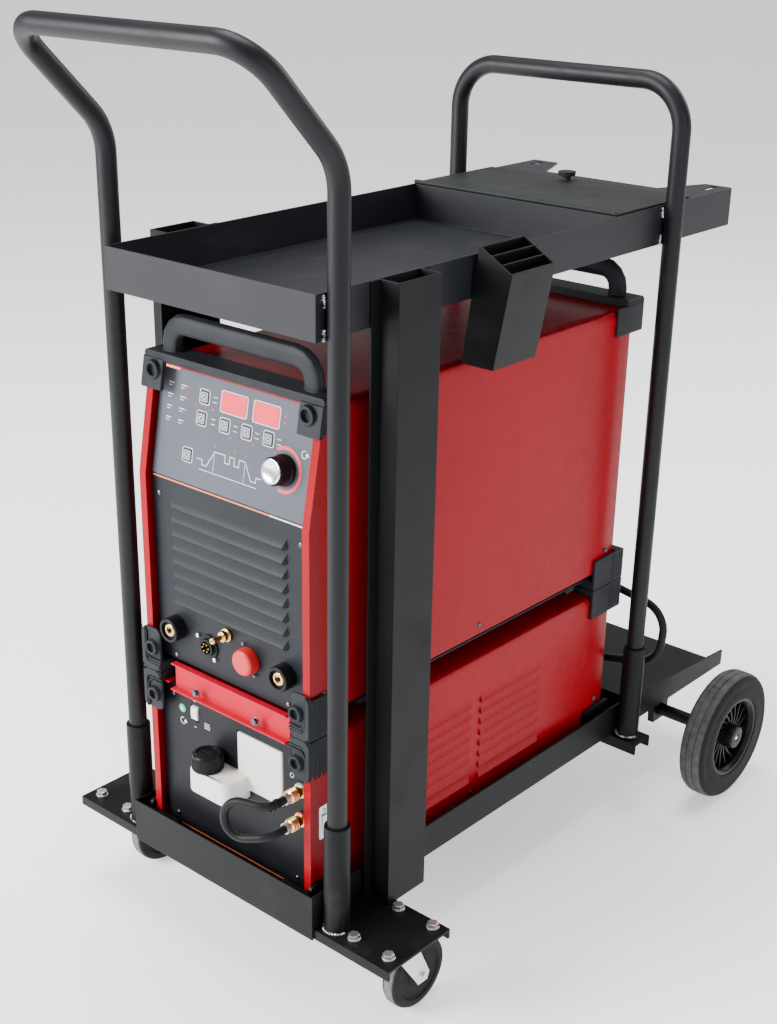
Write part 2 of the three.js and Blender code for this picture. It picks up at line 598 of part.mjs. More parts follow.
// Places on the leaning face: x across, z height; w and h are measured on the face.
function facePocket(x, z, w, h, depth, proud = 3) {
  const geometry = new THREE.BoxGeometry(w, depth + proud, h);
  geometry.translate(0, (depth - proud) / 2, 0);
  geometry.rotateX(-LEAN_ANGLE);
  geometry.translate(x, lean(z), z);
  return solid(geometry);
}
function faceBore(x, z, r, depth) {
  const geometry = new THREE.CylinderGeometry(r, r, depth + 3, 24);
  geometry.translate(0, (depth - 3) / 2, 0);
  geometry.rotateX(-LEAN_ANGLE);
  geometry.translate(x, lean(z), z);
  return solid(geometry);
}
const KEYS = [
  ['polarity', -54, 764], ['mode', -56, 738], ['trigger', -16, 738], ['slope', 21, 738.5],
  ['pulse', 57, 739], ['memory', -74, 690],
];
const KNOB_X = 87;
const KNOB_Z = 710;
const SOCKET_Z = 453;
const SOCKET_X = 97;
const REMOTE = [-39, 445];
const GAS = [-5, 473];
const CAP = [33, 451];
put(welder, 'welder_front_panel', cut(
  join(alongX(panelSide, -PANEL_HALF, PANEL_HALF), join(...ribs).intersect(drawn)),
  ...slots,
  facePocket(-4.5, 765, 41, 22, 1.2),
  facePocket(49, 766, 41, 22, 1.2),
  ...KEYS.map(([, x, z]) => facePocket(x, z, KEY + 0.8, KEY + 0.8, KEY_SUNK + KEY_TRAVEL + 0.1)),
  faceBore(KNOB_X, KNOB_Z, 3.6, 12),
  rod('y', -SOCKET_X, PANEL_Y - 8, SOCKET_Z, 20, DINSE_D / 2 - 3, DINSE_D / 2 - 3, 20),
  rod('y', SOCKET_X, PANEL_Y - 8, SOCKET_Z, 20, DINSE_D / 2 - 3, DINSE_D / 2 - 3, 20),
  rod('y', REMOTE[0], PANEL_Y - 8, REMOTE[1], 20, 10, 10, 20),
  rod('y', GAS[0], PANEL_Y - 8, GAS[1], 20, 5, 5, 16),
  rod('y', CAP[0], PANEL_Y - 8, CAP[1], 20, 11, 11, 20),
), 0x26282c, 0.5, 0.1);

for (const [name, x, z] of KEYS) {
  const geometry = new THREE.BoxGeometry(KEY, KEY_T, KEY);
  geometry.rotateX(-LEAN_ANGLE);
  const n = new THREE.Vector3(0, Math.cos(LEAN_ANGLE), -Math.sin(LEAN_ANGLE));
  const inward = KEY_SUNK - KEY_T / 2;
  const place = [x, lean(z) + n.y * inward, z + n.z * inward];
  put(welder, `key_${name}`, solid(geometry), 0x3a3d42, 0.6, 0, place);
}
const knobR = KNOB_D / 2;
put(welder, 'encoder_knob', lathed([
  [0, -8], [3.2, -8], [3.2, 0.6], [knobR, 0.6], [knobR, 4], [knobR - 2, 6], [
    knobR - 2.4, 20,
  ], [knobR - 5, 24], [0, 24],
], 20), 0x1d1e20, 0.35, 0.2, [KNOB_X, lean(KNOB_Z), KNOB_Z]).rotation.x = Math.PI - LEAN_ANGLE;

const dinse = (r) => lathed([
  [5, 13], [r - 4.5, 13], [r - 4.5, 18], [r - 1, 18], [r, 17], [r, 0.3], [
    r - 3.4, 0.3,
  ], [r - 3.4, -14], [5, -14], [5, 13],
].reverse(), 18);
for (const side of [-1, 1]) {
  const name = side < 0 ? 'current_socket_left' : 'current_socket_right';
  const mesh = put(welder, name, dinse(DINSE_D / 2), 0x1d1d1f, 0.5, 0.1,
    [side * SOCKET_X, PANEL_Y, SOCKET_Z]);
  mesh.rotation.x = Math.PI;
}
put(welder, 'remote_socket', cut(
  join(
    rod('y', 0, -2.5, 0, 2.2, 16, 16, 20), rod('y', 0, -7, 0, 5, 11.5, 11.5, 20),
    rod('y', 0, -3, 0, 15, 9.5, 9.5, 20),
  ),
  rod('y', 0, -8, 0, 9, 8.6, 8.6, 20),
), 0x17181a, 0.55, 0.1, [REMOTE[0], PANEL_Y, REMOTE[1]]);
put(welder, 'gas_nipple', lathed([
  [1.6, 28], [3.6, 28], [4.6, 26], [3.6, 22], [3.6, 11], [7, 11], [7, 4], [9, 4], [9, 0.3], [
    4.6, 0.3,
  ], [4.6, -10], [1.6, -10],
  [1.6, 28],
].reverse(), 12), ...BRASS, [GAS[0], PANEL_Y, GAS[1]]).rotation.x = Math.PI;
put(welder, 'remote_cap', lathed([
  [0, 16], [14, 16], [16.5, 14], [17.5, 10], [17.5, 0.3], [10.5, 0.3], [10.5, -6], [0, -6],
].reverse(), 24), 0xc6231f, 0.45, 0, [CAP[0], PANEL_Y, CAP[1]]).rotation.x = Math.PI;

// Moulded carry handle across an upper edge, with a wrapped corner and a screw boss at each end.
const HANDLE_H = 52;
function carryHandle() {
  const topZ = MACHINE_TOP + GAP;
  const y0 = front(MACHINE_TOP) - 4;
  const rail = alongY(roundedRect(-HALF - 4, HALF + 4, topZ, topZ + 11, 4), y0, y0 + 36);
  const ears = [-1, 1].map((s) => {
    const a = Math.min(s * (HALF - 32), s * (HALF + 4));
    const b = Math.max(s * (HALF - 32), s * (HALF + 4));
    const z0 = MACHINE_TOP - 34;
    const lip = alongX(
      [
        [front(z0) - 6.5, z0], [front(z0) - GAP, z0], [front(topZ + 3) - GAP, topZ + 3],
        [front(topZ + 3) - 6.5, topZ + 3],
      ],
      a, b,
    );
    const boss = rod('y', s * (HALF - 17), front(MACHINE_TOP - 12) - 11, MACHINE_TOP - 10, 9, 11.5, 12.5, 20);
    const wrap = block(
      Math.min(s * (HALF + GAP), s * (HALF + 4)), Math.max(s * (HALF + GAP), s * (HALF + 4)), y0, y0 + 36,
      MACHINE_TOP - 30, topZ + 3,
    );
    const bore = rod('y', s * (HALF - 17), front(MACHINE_TOP - 12) - 13, MACHINE_TOP - 10, 8, 7.5, 7.5, 16);
    return cut(join(lip, boss, wrap), bore);
  });
  const grip = new BentRun([
    [-118, y0 + 18, topZ + 6], [
      -118, y0 + 18, topZ + HANDLE_H - 6,
    ], [118, y0 + 18, topZ + HANDLE_H - 6], [118, y0 + 18, topZ + 6],
  ], 26, 4);
  const oval = circle(1, 10).map((p) => new THREE.Vector2(p.x * 10, p.y * 14));
  const arch = swept(oval, grip);
  return join(rail, ...ears, arch);
}
put(welder, 'front_carry_handle', carryHandle(), ...MOULDING);
// The rear one has upright corner blocks behind the cover, as the rear wall doesn't lean.
function rearHandle() {
  const topZ = MACHINE_TOP + GAP;
  const y1 = MACHINE_END + 16;
  const rail = alongY(roundedRect(-HALF - 4, HALF + 4, topZ, topZ + 11, 4), y1 - 40, y1);
  const ears = [-1, 1].map((s) => {
    const span = (a, b) => [Math.min(s * a, s * b), Math.max(s * a, s * b)];
    const [a, b] = span(HALF - 30, HALF + 4);
    const [c, d] = span(HALF + GAP, HALF + 4);
    return join(
      block(a, b, MACHINE_END + GAP, y1, MACHINE_TOP - 36, topZ + 3),
      block(c, d, y1 - 62, y1, MACHINE_TOP - 36, topZ + 3),
    );
  });
  const grip = new BentRun([
    [-118, y1 - 20, topZ + 6], [
      -118, y1 - 20, topZ + HANDLE_H - 6,
    ], [118, y1 - 20, topZ + HANDLE_H - 6], [118, y1 - 20, topZ + 6],
  ], 26, 4);
  const oval = circle(1, 10).map((p) => new THREE.Vector2(p.x * 10, p.y * 14));
  return join(rail, ...ears, swept(oval, grip));
}
put(welder, 'rear_carry_handle', rearHandle(), ...MOULDING);

// Corner bumpers: a face plate in front, a wrap round the side and a pad between the two machines.
const padTop = chassisZ - GAP;
const padSplit = COOLER_TOP + 11.5;
function lowerBumper() {
  const face = alongY(
    roundedRect(HALF - 29, HALF + 4, padSplit + GAP, padSplit + 60, 9), MACHINE_Y - 7, MACHINE_Y - GAP,
  );
  const wrap = alongX(
    roundedRect(MACHINE_Y - 7, MACHINE_Y + 48, padSplit + GAP, padSplit + 56, 6), HALF + GAP, HALF + 4,
  );
  const pad = block(HALF - 29, HALF + 4, MACHINE_Y - 5, MACHINE_Y + 48, padSplit + GAP, padTop);
  const boss = rod('y', HALF - 17, MACHINE_Y - 11, padSplit + 34, 9, 10, 11.5, 16);
  const bore = rod('y', HALF - 17, MACHINE_Y - 12, padSplit + 34, 7, 6.5, 6.5, 16);
  const field = alongY(
    roundedRect(HALF - 33, HALF - 3, padSplit + 9, padSplit + 64, 8), MACHINE_Y - 8, MACHINE_Y - 4,
  );
  return cut(join(cut(face, field), wrap, pad, boss), bore);
}
put(welder, 'welder_bumper_right', lowerBumper(), ...MOULDING);
put(welder, 'welder_bumper_left', lowerBumper(), ...MOULDING).scale.x = -1;
function upperBumper() {
  const face = alongY(
    roundedRect(HALF - 29, HALF + 4, padSplit - 58, padSplit - GAP, 9), MACHINE_Y - 7, MACHINE_Y - GAP,
  );
  const wrap = alongX(
    roundedRect(MACHINE_Y - 7, MACHINE_Y + 48, padSplit - 48, padSplit - GAP, 6), HALF + GAP, HALF + 4,
  );
  const pad = block(HALF - 29, HALF + 4, MACHINE_Y - 5, MACHINE_Y + 48, COOLER_TOP + GAP, padSplit - GAP);
  const boss = rod('y', HALF - 17, MACHINE_Y - 11, padSplit - 34, 9, 10, 11.5, 16);
  const bore = rod('y', HALF - 17, MACHINE_Y - 12, padSplit - 34, 7, 6.5, 6.5, 16);
  const field = alongY(
    roundedRect(HALF - 33, HALF - 3, padSplit - 62, padSplit - 9, 8), MACHINE_Y - 8, MACHINE_Y - 4,
  );
  return cut(join(cut(face, field), wrap, pad, boss), bore);
}
put(cooler, 'cooler_bumper_right', upperBumper(), ...MOULDING);
put(cooler, 'cooler_bumper_left', upperBumper(), ...MOULDING).scale.x = -1;

// Full-width rear bumpers, one under the welder and one on top of the cooler.
function rearBumper(z0, z1, padZ0, padZ1) {
  const wrap = (s) => {
    const a = Math.min(s * (HALF + GAP), s * (HALF + 5));
    const b = Math.max(s * (HALF + GAP), s * (HALF + 5));
    return block(a, b, MACHINE_END - 58, MACHINE_END + 16, z0, z1);
  };
  return join(
    block(-HALF - 5, HALF + 5, MACHINE_END + GAP, MACHINE_END + 16, z0, z1),
    wrap(-1),
    wrap(1),
    block(-HALF - 5, HALF + 5, MACHINE_END - 58, MACHINE_END + 4, padZ0, padZ1),
  );
}
put(
  welder, 'welder_rear_bumper', rearBumper(padSplit + GAP, padSplit + 46, padSplit + GAP, chassisZ - GAP),
  ...MOULDING,
);
put(
  cooler, 'cooler_rear_bumper', rearBumper(padSplit - 46, padSplit - GAP, COOLER_TOP + GAP, padSplit - GAP),
  ...MOULDING,
);

// Rear switch, fan and power block inside.
put(welder, 'mains_switch', join(
  rod('y', 0, -4.5, 0, 9, 4, 4, 16), rod('y', 0, 4.2, 0, 8, 21, 20, 28), block(-4.5, 4.5, 11, 24, -20, 20),
), 0x202124, 0.5, 0.1, [92, MACHINE_END - 3, 690]);
const fan = [rod('y', 0, -12, 0, 24, 19, 19, 24)];
for (let i = 0; i < 7; i++) {
  const geometry = new THREE.BoxGeometry(42, 2.4, 20);
  geometry.rotateX(0.6);
  geometry.translate(36, 0, 0);
  geometry.rotateY((i / 7) * 2 * Math.PI);
  fan.push(solid(geometry));
}
put(
  welder, 'fan_rotor', join(...fan, rod('y', 0, -24, 0, 14, 3.5, 3.5, 12)), 0x151618, 0.5, 0,
  [0, MACHINE_END - 30, fanZ],
);
const fins = [];
for (let i = 0; i < 9; i++) {
  const x = -110 + i * 26.5;
  fins.push(block(x, x + 4, 180, 560, chassisZ + 24, chassisZ + 120));
}
put(welder, 'power_block', join(
  block(-112, 112, 180, 560, chassisZ + 118, chassisZ + 126),
  block(-112, 112, 180, 560, chassisZ + 3 + GAP, chassisZ + 28),
  ...fins,
  block(-70, 70, 220, 470, chassisZ + 124, chassisZ + 210),
  block(-14, 14, MACHINE_END - 100, MACHINE_END - 58, chassisZ + 3 + GAP, fanZ + 20),
  block(-14, 14, 540, MACHINE_END - 70, chassisZ + 3 + GAP, chassisZ + 26),
), 0x9a9ca0, 0.45, 0.8);

// Folded strap that ties the two front panels together.
put(welder, 'joining_strap', join(
  block(-104, 104, PANEL_Y - 2.6, PANEL_Y - 0.4, COOLER_TOP - 8, COOLER_TOP + 28),
  block(-104, 104, PANEL_Y - 10, PANEL_Y - 0.4, COOLER_TOP + 26, COOLER_TOP + 28.2),
  block(-104, 104, PANEL_Y - 12, PANEL_Y - 0.4, COOLER_TOP - 10, COOLER_TOP - 7.8),
), ...RED);

// ---- cooler -------------------------------------------------------------------------------------
// Two banks of louvres are drawn out of each side, open along their lower edges.
const sideRibs = [];
const sideSlots = [];
for (const s of [-1, 1]) {
  const across = (points) => points.map(([out, z]) => [s * (HALF + out), z]);
  for (const [y0, y1] of [[190, 328], [349, 487]]) {
    for (let i = 0; i < SIDE_LOUVRES; i++) {
      const z = COOLER_Z + 39 + i * SIDE_LOUVRE_PITCH;
      sideRibs.push(alongY(across([[-0.5, z + 14], [3.5, z + 4], [3.5, z + 1], [-0.5, z + 1]]), y0, y1));
      sideSlots.push(alongY(across([
        [-COVER_T - 1, z + 9], [2.3, z + 3.4], [2.3, z], [-COVER_T - 1, z + 1],
      ]), y0 + 5, y1 - 5));
    }
  }
}
put(cooler, 'cooler_cover', cut(
  join(coverBody(COOLER_Z, COOLER_TOP, COOLER_TOP - COVER_T - 0.5), ...sideRibs),
  ...sideSlots,
  block(-108, 108, MACHINE_Y - 5, PANEL_Y + 4, COOLER_TOP - 8, COOLER_TOP + 5),
), ...RED);
// Corner feet under the chassis, turned up outside the cover.
const footTop = COOLER_Z - 1 - GAP;
const feet = [];
for (const s of [-1, 1]) {
  const span = (a, b) => [Math.min(s * a, s * b), Math.max(s * a, s * b)];
  const [under0, under1] = span(96, HALF + 6);
  const [side0, side1] = span(HALF + GAP, HALF + 6);
  const frontY = MACHINE_Y - 6;
  const rearY = MACHINE_END + 6;
  feet.push(
    block(under0, under1, frontY, MACHINE_Y + 50, COOLER_FLOOR, footTop),
    block(under0, under1, MACHINE_END - 58, rearY, COOLER_FLOOR, footTop),
    alongX(roundedRect(frontY, MACHINE_Y + 50, COOLER_FLOOR, COOLER_Z + 34, 6), side0, side1),
    alongX(roundedRect(MACHINE_END - 58, rearY, COOLER_FLOOR, COOLER_Z + 40, 6), side0, side1),
    alongY(roundedRect(under0, under1, COOLER_FLOOR, COOLER_Z + 22, 6), frontY, MACHINE_Y - GAP),
    block(under0, under1, MACHINE_END + GAP, rearY, COOLER_FLOOR, COOLER_Z + 30),
  );
}
put(cooler, 'cooler_chassis', join(
  block(-rearHalf, rearHalf, PANEL_Y + 6, MACHINE_END - 3, COOLER_Z - 4, COOLER_Z - 1),
  block(-rearHalf, rearHalf, MACHINE_END - 6, MACHINE_END - 3, COOLER_Z - 4, COOLER_TOP - SHOULDER - 1),
  ...feet,
), 0x1c1d20, 0.6, 0.2);

const COUPLING_X = 121;
const BLUE_Z = 302;
const RED_Z = 260;
const ROCKER = [-71.5, 336];
const TANK_X0 = 8;
const TANK_X1 = 88;
const TANK_Z0 = 250;
const NECK = [-26, 4];
const panelHigh = COOLER_TOP - 2 - 0.5 - GAP;
put(cooler, 'cooler_front_panel', cut(
  block(-PANEL_HALF, PANEL_HALF, PANEL_Y, PANEL_Y + panelT, COOLER_Z - 1, panelHigh),
  block(TANK_X0 - 1, TANK_X1 + 1, PANEL_Y - 2, PANEL_Y + 6, TANK_Z0 + 11, TANK_Z0 + 92),
  block(-49, TANK_X0 + 20, PANEL_Y - 2, PANEL_Y + 6, TANK_Z0 - 1, TANK_Z0 + 34),
  block(ROCKER[0] - 7, ROCKER[0] + 7, PANEL_Y - 2, PANEL_Y + 6, ROCKER[1] - 12, ROCKER[1] + 12),
  rod('y', COUPLING_X, PANEL_Y - 2, BLUE_Z, 8, 6.5, 6.5, 20),
  rod('y', COUPLING_X, PANEL_Y - 2, RED_Z, 8, 6.5, 6.5, 20),
), 0x1a1b1e, 0.5, 0.1);

// Tank: a tall flush part behind the panel's window and a low nose with the filler neck in front.
const TANK_T = 3;
const nose = (t) => roundedRect(-48 + t, TANK_X0 + 19 - t, -14 + t, PANEL_Y + 34 - t, 13 - t, 4);
put(cooler, 'coolant_tank', cut(
  join(
    block(TANK_X0, TANK_X1, PANEL_Y - 2, PANEL_Y + 120, TANK_Z0 + 12, TANK_Z0 + 91),
    alongZ(nose(0), TANK_Z0, TANK_Z0 + 33),
    rod('z', NECK[0], NECK[1], TANK_Z0 + 31, 18, 15, 15, 24),
  ),
  join(
    block(
      TANK_X0 + TANK_T, TANK_X1 - TANK_T, PANEL_Y - 2 + TANK_T, PANEL_Y + 120 - TANK_T,
      TANK_Z0 + 12 + TANK_T, TANK_Z0 + 91 - TANK_T,
    ),
    alongZ(nose(TANK_T), TANK_Z0 + TANK_T, TANK_Z0 + 33 - TANK_T),
    rod('z', NECK[0], NECK[1], TANK_Z0 + 20, 40, 12, 12, 24),
  ),
), 0xe9e8e2, 0.4, 0);
const capR = 20.5;
const capShell = lathed([
  [0, 23], [capR - 3, 23], [capR, 20], [capR, 0], [15 + 0.6, 0], [15.6, 17.2], [0, 17.2],
].reverse(), 22);
put(
  cooler, 'tank_cap', capShell, 0x141414, 0.6, 0, [NECK[0], NECK[1], TANK_Z0 + 33 + GAP],
).rotation.x = Math.PI / 2;

put(cooler, 'pump_rocker', alongX(
  [
    [-3.4, -10], [0.6, -8.6], [1.5, 0], [0.6, 8.6], [-3.4, 10], [-5.2, 0],
  ].reverse().map(([a, b]) => [-a - 4.2, b]),
  -6, 6,
),
  0xe8e8e4, 0.4, 0, [ROCKER[0], PANEL_Y + 3, ROCKER[1]]);

const coupling = () => lathed([
  [2.6, 32], [6.4, 32], [7, 24], [8.6, 23], [8.6, 13], [7, 12], [7, 5], [9.8, 5], [
    9.8, 0.3,
  ], [6.1, 0.3], [6.1, -10], [2.6, -10],
  [2.6, 32],
].reverse(), 14);
put(cooler, 'coupling_return', coupling(), ...BRASS, [COUPLING_X, PANEL_Y, BLUE_Z]).rotation.x = Math.PI;
put(cooler, 'coupling_supply', coupling(), ...BRASS, [COUPLING_X, PANEL_Y, RED_Z]).rotation.x = Math.PI;

// Short hose joining the two couplings.
const tipY = PANEL_Y - 32 - GAP;
put(cooler, 'jumper_hose', swept(circle(HOSE_D / 2, 8), new BentRun([
  [COUPLING_X, tipY, BLUE_Z], [COUPLING_X, tipY - 26, BLUE_Z], [COUPLING_X - 62, tipY - 44, BLUE_Z - 2],
  [COUPLING_X - 60, tipY - 42, RED_Z - 20], [COUPLING_X, tipY - 26, RED_Z], [COUPLING_X, tipY, RED_Z],
], [22, 28, 22, 22], 4)), 0x161616, 0.7, 0);

// Supply lead from the welder's rear wall to the cooler's rear wall.
const leadY = MACHINE_END - 3 + GAP;
put(cooler, 'supply_lead', swept(circle(LEAD_D / 2, 8), new BentRun([
  [20, leadY, 440], [20, leadY + 52, 440], [100, leadY + 56, 350], [212, leadY + 54, 334],
  [204, leadY + 54, 246], [60, leadY + 52, 214], [60, leadY, 214],
], [36, 48, 40, 48, 36], 4)), 0x121212, 0.7, 0);

export default group;
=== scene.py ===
"""Looks of a TIG welding set: inverter and cooler on a tool trolley. Metres, +Z up, the front faces -Y."""
import bpy
import math
import random
from mathutils import Matrix, Vector


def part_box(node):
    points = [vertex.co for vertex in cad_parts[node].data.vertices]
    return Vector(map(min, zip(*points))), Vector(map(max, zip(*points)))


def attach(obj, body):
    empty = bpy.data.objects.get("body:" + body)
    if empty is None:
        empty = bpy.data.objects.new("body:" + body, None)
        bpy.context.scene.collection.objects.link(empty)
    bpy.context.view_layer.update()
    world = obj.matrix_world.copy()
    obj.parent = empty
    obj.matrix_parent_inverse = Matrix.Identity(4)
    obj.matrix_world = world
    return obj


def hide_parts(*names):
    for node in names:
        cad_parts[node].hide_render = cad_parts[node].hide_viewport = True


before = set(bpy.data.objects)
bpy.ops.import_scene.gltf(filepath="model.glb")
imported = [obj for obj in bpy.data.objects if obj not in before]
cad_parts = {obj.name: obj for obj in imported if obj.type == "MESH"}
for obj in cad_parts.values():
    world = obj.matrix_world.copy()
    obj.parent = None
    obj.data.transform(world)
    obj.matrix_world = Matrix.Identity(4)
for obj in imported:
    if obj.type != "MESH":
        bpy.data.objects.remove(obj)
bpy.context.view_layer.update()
random.seed(7)

# Places are written as the workshop drawing has them, in millimetres: x from the middle, y back from the
# tray's front edge, z up from the floor. Bevel widths and what bpy.ops takes are in metres.
TRAY_FRONT = 434.25  # the tray's front edge lies this far before the frame's middle
POLE_X, FRONT_POLE_Y, REAR_POLE_Y = 183.8, 22, 678
WHEEL_X, WHEEL_Y, WHEEL_Z = 267.5, 827, 102.5
CASTER_X, CASTER_Y, CASTER_Z = 243, 102, 50
CASTER_PLATE_TOP = 130
SIDE_X = 146  # outer faces of both covers
MACHINE_END = 662.0
REAR_SHEET_Y = MACHINE_END - 3
PANEL_Y = 26.0  # front sheets of both machines
BREAK_Z = 655.0  # above this height the welder's front sheet leans back
LEAN = 0.18
BOSS_X = 129
SOCKET_X, SOCKET_Z = 97, 453
REMOTE_X, REMOTE_Z = -39, 445
COUPLING_X, RETURN_Z, SUPPLY_Z = 121, 302, 260
LATCH_Y, LATCH_Z = 38, 262
FAN_Z = 560
LEAD_TOP, LEAD_FOOT = (20, 440), (60, 214)
KEYS = {"polarity": (-54, 764), "mode": (-56, 738), "trigger": (-16, 738), "slope": (21, 738.5),
        "pulse": (57, 739), "memory": (-74, 690)}
DIAL = (87, 710)
WINDOWS = ((-25, 17), (29, 70))
WINDOW_LOW, WINDOW_HIGH = 754, 777

UP = Vector((0, 0, 1))
FRONT = Vector((0, -1, 0))
LEANING = Vector((0, -1, LEAN)).normalized()
UP_THE_LEAN = Vector((0, LEAN, 1)).normalized()


def at(x, y, z):
    return Vector((x, y - TRAY_FRONT, z)) / 1000


def lean(z):
    return PANEL_Y + LEAN * max(0.0, z - BREAK_Z)


# ---- camera -------------------------------------------------------------------------------------
def set_up_camera():
    data = bpy.data.cameras.new("camera")
    camera = bpy.data.objects.new("camera", data)
    bpy.context.scene.collection.objects.link(camera)
    data.sensor_width = 36
    data.lens = 54.74
    data.shift_x = 0.0382
    data.shift_y = 0.0606
    heading, tilt, roll = (math.radians(angle) for angle in (42.2, 65.85, 0.38))
    turn = Matrix.Rotation(heading, 4, "Z") @ Matrix.Rotation(tilt, 4, "X") @ Matrix.Rotation(roll, 4, "Z")
    camera.rotation_mode = "QUATERNION"
    camera.rotation_quaternion = turn.to_quaternion()
    camera.location = (1.2659, -1.5867, 1.3301)
    bpy.context.scene.camera = camera


set_up_camera()


# ---- finishes -----------------------------------------------------------------------------------
class Amount:
    """A number that changes over a surface. Arithmetic on it adds Math nodes."""

    def __init__(self, finish, socket):
        self.finish, self.socket = finish, socket

    def maths(self, operation, *values, clamp=False):
        settings = {"operation": operation, "use_clamp": clamp}
        made = self.finish.node("ShaderNodeMath", settings, dict(enumerate(values)))
        return Amount(self.finish, made.outputs[0])

    def __add__(self, other):
        return self.maths("ADD", self, other)

    __radd__ = __add__

    def __mul__(self, other):
        return self.maths("MULTIPLY", self, other)

    __rmul__ = __mul__

    def __sub__(self, other):
        return self.maths("SUBTRACT", self, other)

    def __rsub__(self, other):
        return self.maths("SUBTRACT", other, self)

    def abs(self):
        return self.maths("ABSOLUTE", self)

    def between(self, low, high):
        """0 below low, 1 above high, and even in between."""
        return self.maths("MULTIPLY", self - low, 1 / (high - low), clamp=True)


class Finish:
    """One procedural material on Object coordinates."""

    def __init__(self, name, colour, roughness, metallic=0.0, **constants):
        self.material = bpy.data.materials.new(name)
        self.material.use_nodes = True
        self.tree = self.material.node_tree
        self.shader = self.tree.nodes["Principled BSDF"]
        self.coords = self.tree.nodes.new("ShaderNodeTexCoord")
        self.give("Base Color", (*colour, 1))
        self.give("Roughness", roughness)
        self.give("Metallic", metallic)
        for socket, value in constants.items():
            self.give(socket.replace("_", " "), value)

    def give(self, socket, value):
        self.fill(self.shader.inputs[socket], value)

    def fill(self, socket, value):
        if isinstance(value, Amount):
            self.tree.links.new(value.socket, socket)
        elif isinstance(value, bpy.types.NodeSocket):
            self.tree.links.new(value, socket)
        else:
            socket.default_value = value

    def node(self, kind, settings, inputs):
        made = self.tree.nodes.new(kind)
        for name, value in settings.items():
            setattr(made, name, value)
        for name, value in inputs.items():
            self.fill(made.inputs[name], value)
        return made

    def place(self, stretch=(1, 1, 1), shift=(0, 0, 0)):
        inputs = {"Vector": self.coords.outputs["Object"], "Scale": stretch, "Location": shift}
        return self.node("ShaderNodeMapping", {}, inputs).outputs[0]

    def noise(self, scale, detail=3.0, rough=0.55, stretch=(1, 1, 1), shift=(0, 0, 0)):
        inputs = {"Vector": self.place(stretch, shift), "Scale": scale, "Detail": detail, "Roughness": rough}
        return Amount(self, self.node("ShaderNodeTexNoise", {}, inputs).outputs[0])

    def cells(self, scale):
        inputs = {"Vector": self.place(), "Scale": scale}
        return Amount(self, self.node("ShaderNodeTexVoronoi", {}, inputs).outputs["Distance"])

    def axis(self, letter):
        made = self.node("ShaderNodeSeparateXYZ", {}, {0: self.coords.outputs["Object"]})
        return Amount(self, made.outputs["XYZ".index(letter)])

    def mix(self, share, first, second):
        made = self.node("ShaderNodeMix", {"data_type": "RGBA"}, {0: share})
        for index, colour in ((6, first), (7, second)):
            self.fill(made.inputs[index], (*colour, 1) if isinstance(colour, tuple) else colour)
        return made.outputs[2]

    def bump(self, height, strength, distance):
        inputs = {"Height": height, "Strength": strength, "Distance": distance}
        self.give("Normal", self.node("ShaderNodeBump", {}, inputs).outputs[0])


def powder_coat(name, dark, dusty, smear=0.25, chips=0.0, shine=0.14):
    """Matt black coating with hand smears; chips is the share of small bare spots."""
    f = Finish(name, dark, 0.42, Specular_IOR_Level=shine)
    cloud = f.noise(9, 5, 0.6)
    streak = f.noise(22, 4, 0.7, stretch=(1, 0.25, 1), shift=(3, 1, 0))
    smudge = cloud.between(0.48, 0.72) * streak.between(0.42, 0.68)
    colour = f.mix(smudge * smear, dark, dusty)
    if chips:
        spots = f.noise(140, 3, 0.6).between(0.74 - chips, 0.78 - chips)
        colour = f.mix(spots * 0.6, colour, (0.22, 0.22, 0.23))
    f.give("Base Color", colour)
    f.give("Roughness", 0.40 + smudge * 0.25 + f.noise(300, 2) * 0.08)
    f.bump(f.noise(700, 2, 0.6) + cloud * 0.2, 0.16, 0.0003)
    return f.material


def paint(name, colour, deep, rough=0.22):
    """Smooth enamel with a slow drift in depth and a faint orange peel."""
    f = Finish(name, colour, rough, Specular_IOR_Level=0.10)
    wash = f.noise(5, 3, 0.5)
    f.give("Base Color", f.mix(wash.between(0.3, 0.7), colour, deep))
    f.give("Roughness", rough + f.noise(40, 4) * 0.10)
    f.bump(f.noise(420, 2, 0.4) + f.noise(60, 2) * 0.6, 0.07, 0.0003)
    return f.material


def moulded(name, colour, rough=0.55, grain=0.25, pitch=900, pale=1.35):
    """Grained plastic; pitch is how fine the grain is and pale how much lighter its clouds are."""
    f = Finish(name, colour, rough, Specular_IOR_Level=0.14)
    lighter = tuple(min(1, part * pale) for part in colour)
    f.give("Base Color", f.mix(f.noise(30, 4).between(0.35, 0.7), colour, lighter))
    f.give("Roughness", rough - 0.05 + f.noise(120, 3) * 0.14)
    f.bump(f.cells(pitch) + f.noise(pitch * 1.6, 2) * 0.6, grain, 0.0003)
    return f.material


def metal(name, colour, rough=0.3, grain=(1, 1, 1), scale=200, tarnish=(0.3, 0.3, 0.3), amount=0.25):
    f = Finish(name, colour, rough, 1.0)
    lines = f.noise(scale, 4, 0.6, stretch=grain)
    f.give("Base Color", f.mix(f.noise(35, 4).between(0.45, 0.8) * amount, colour, tarnish))
    f.give("Roughness", rough - 0.06 + lines * 0.18)
    f.bump(lines, 0.12, 0.0002)
    return f.material


def tyre_rubber(name, side, tread, half, centre_x):
    """Clean dark sides and a dusty running surface, half wide either way of centre_x."""
    f = Finish(name, side, 0.75, Specular_IOR_Level=0.25)
    scuff = f.noise(60, 5, 0.7)
    off = (f.axis("X").abs() - centre_x).abs()
    face = 1 - off.between(half - 0.007, half - 0.004)
    f.give("Base Color", f.mix(face * (0.35 + scuff.between(0.3, 0.65) * 0.65), side, tread))
    f.give("Roughness", 0.66 + scuff * 0.25)
    f.bump(f.noise(500, 3) + scuff, 0.35, 0.0006)
    return f.material


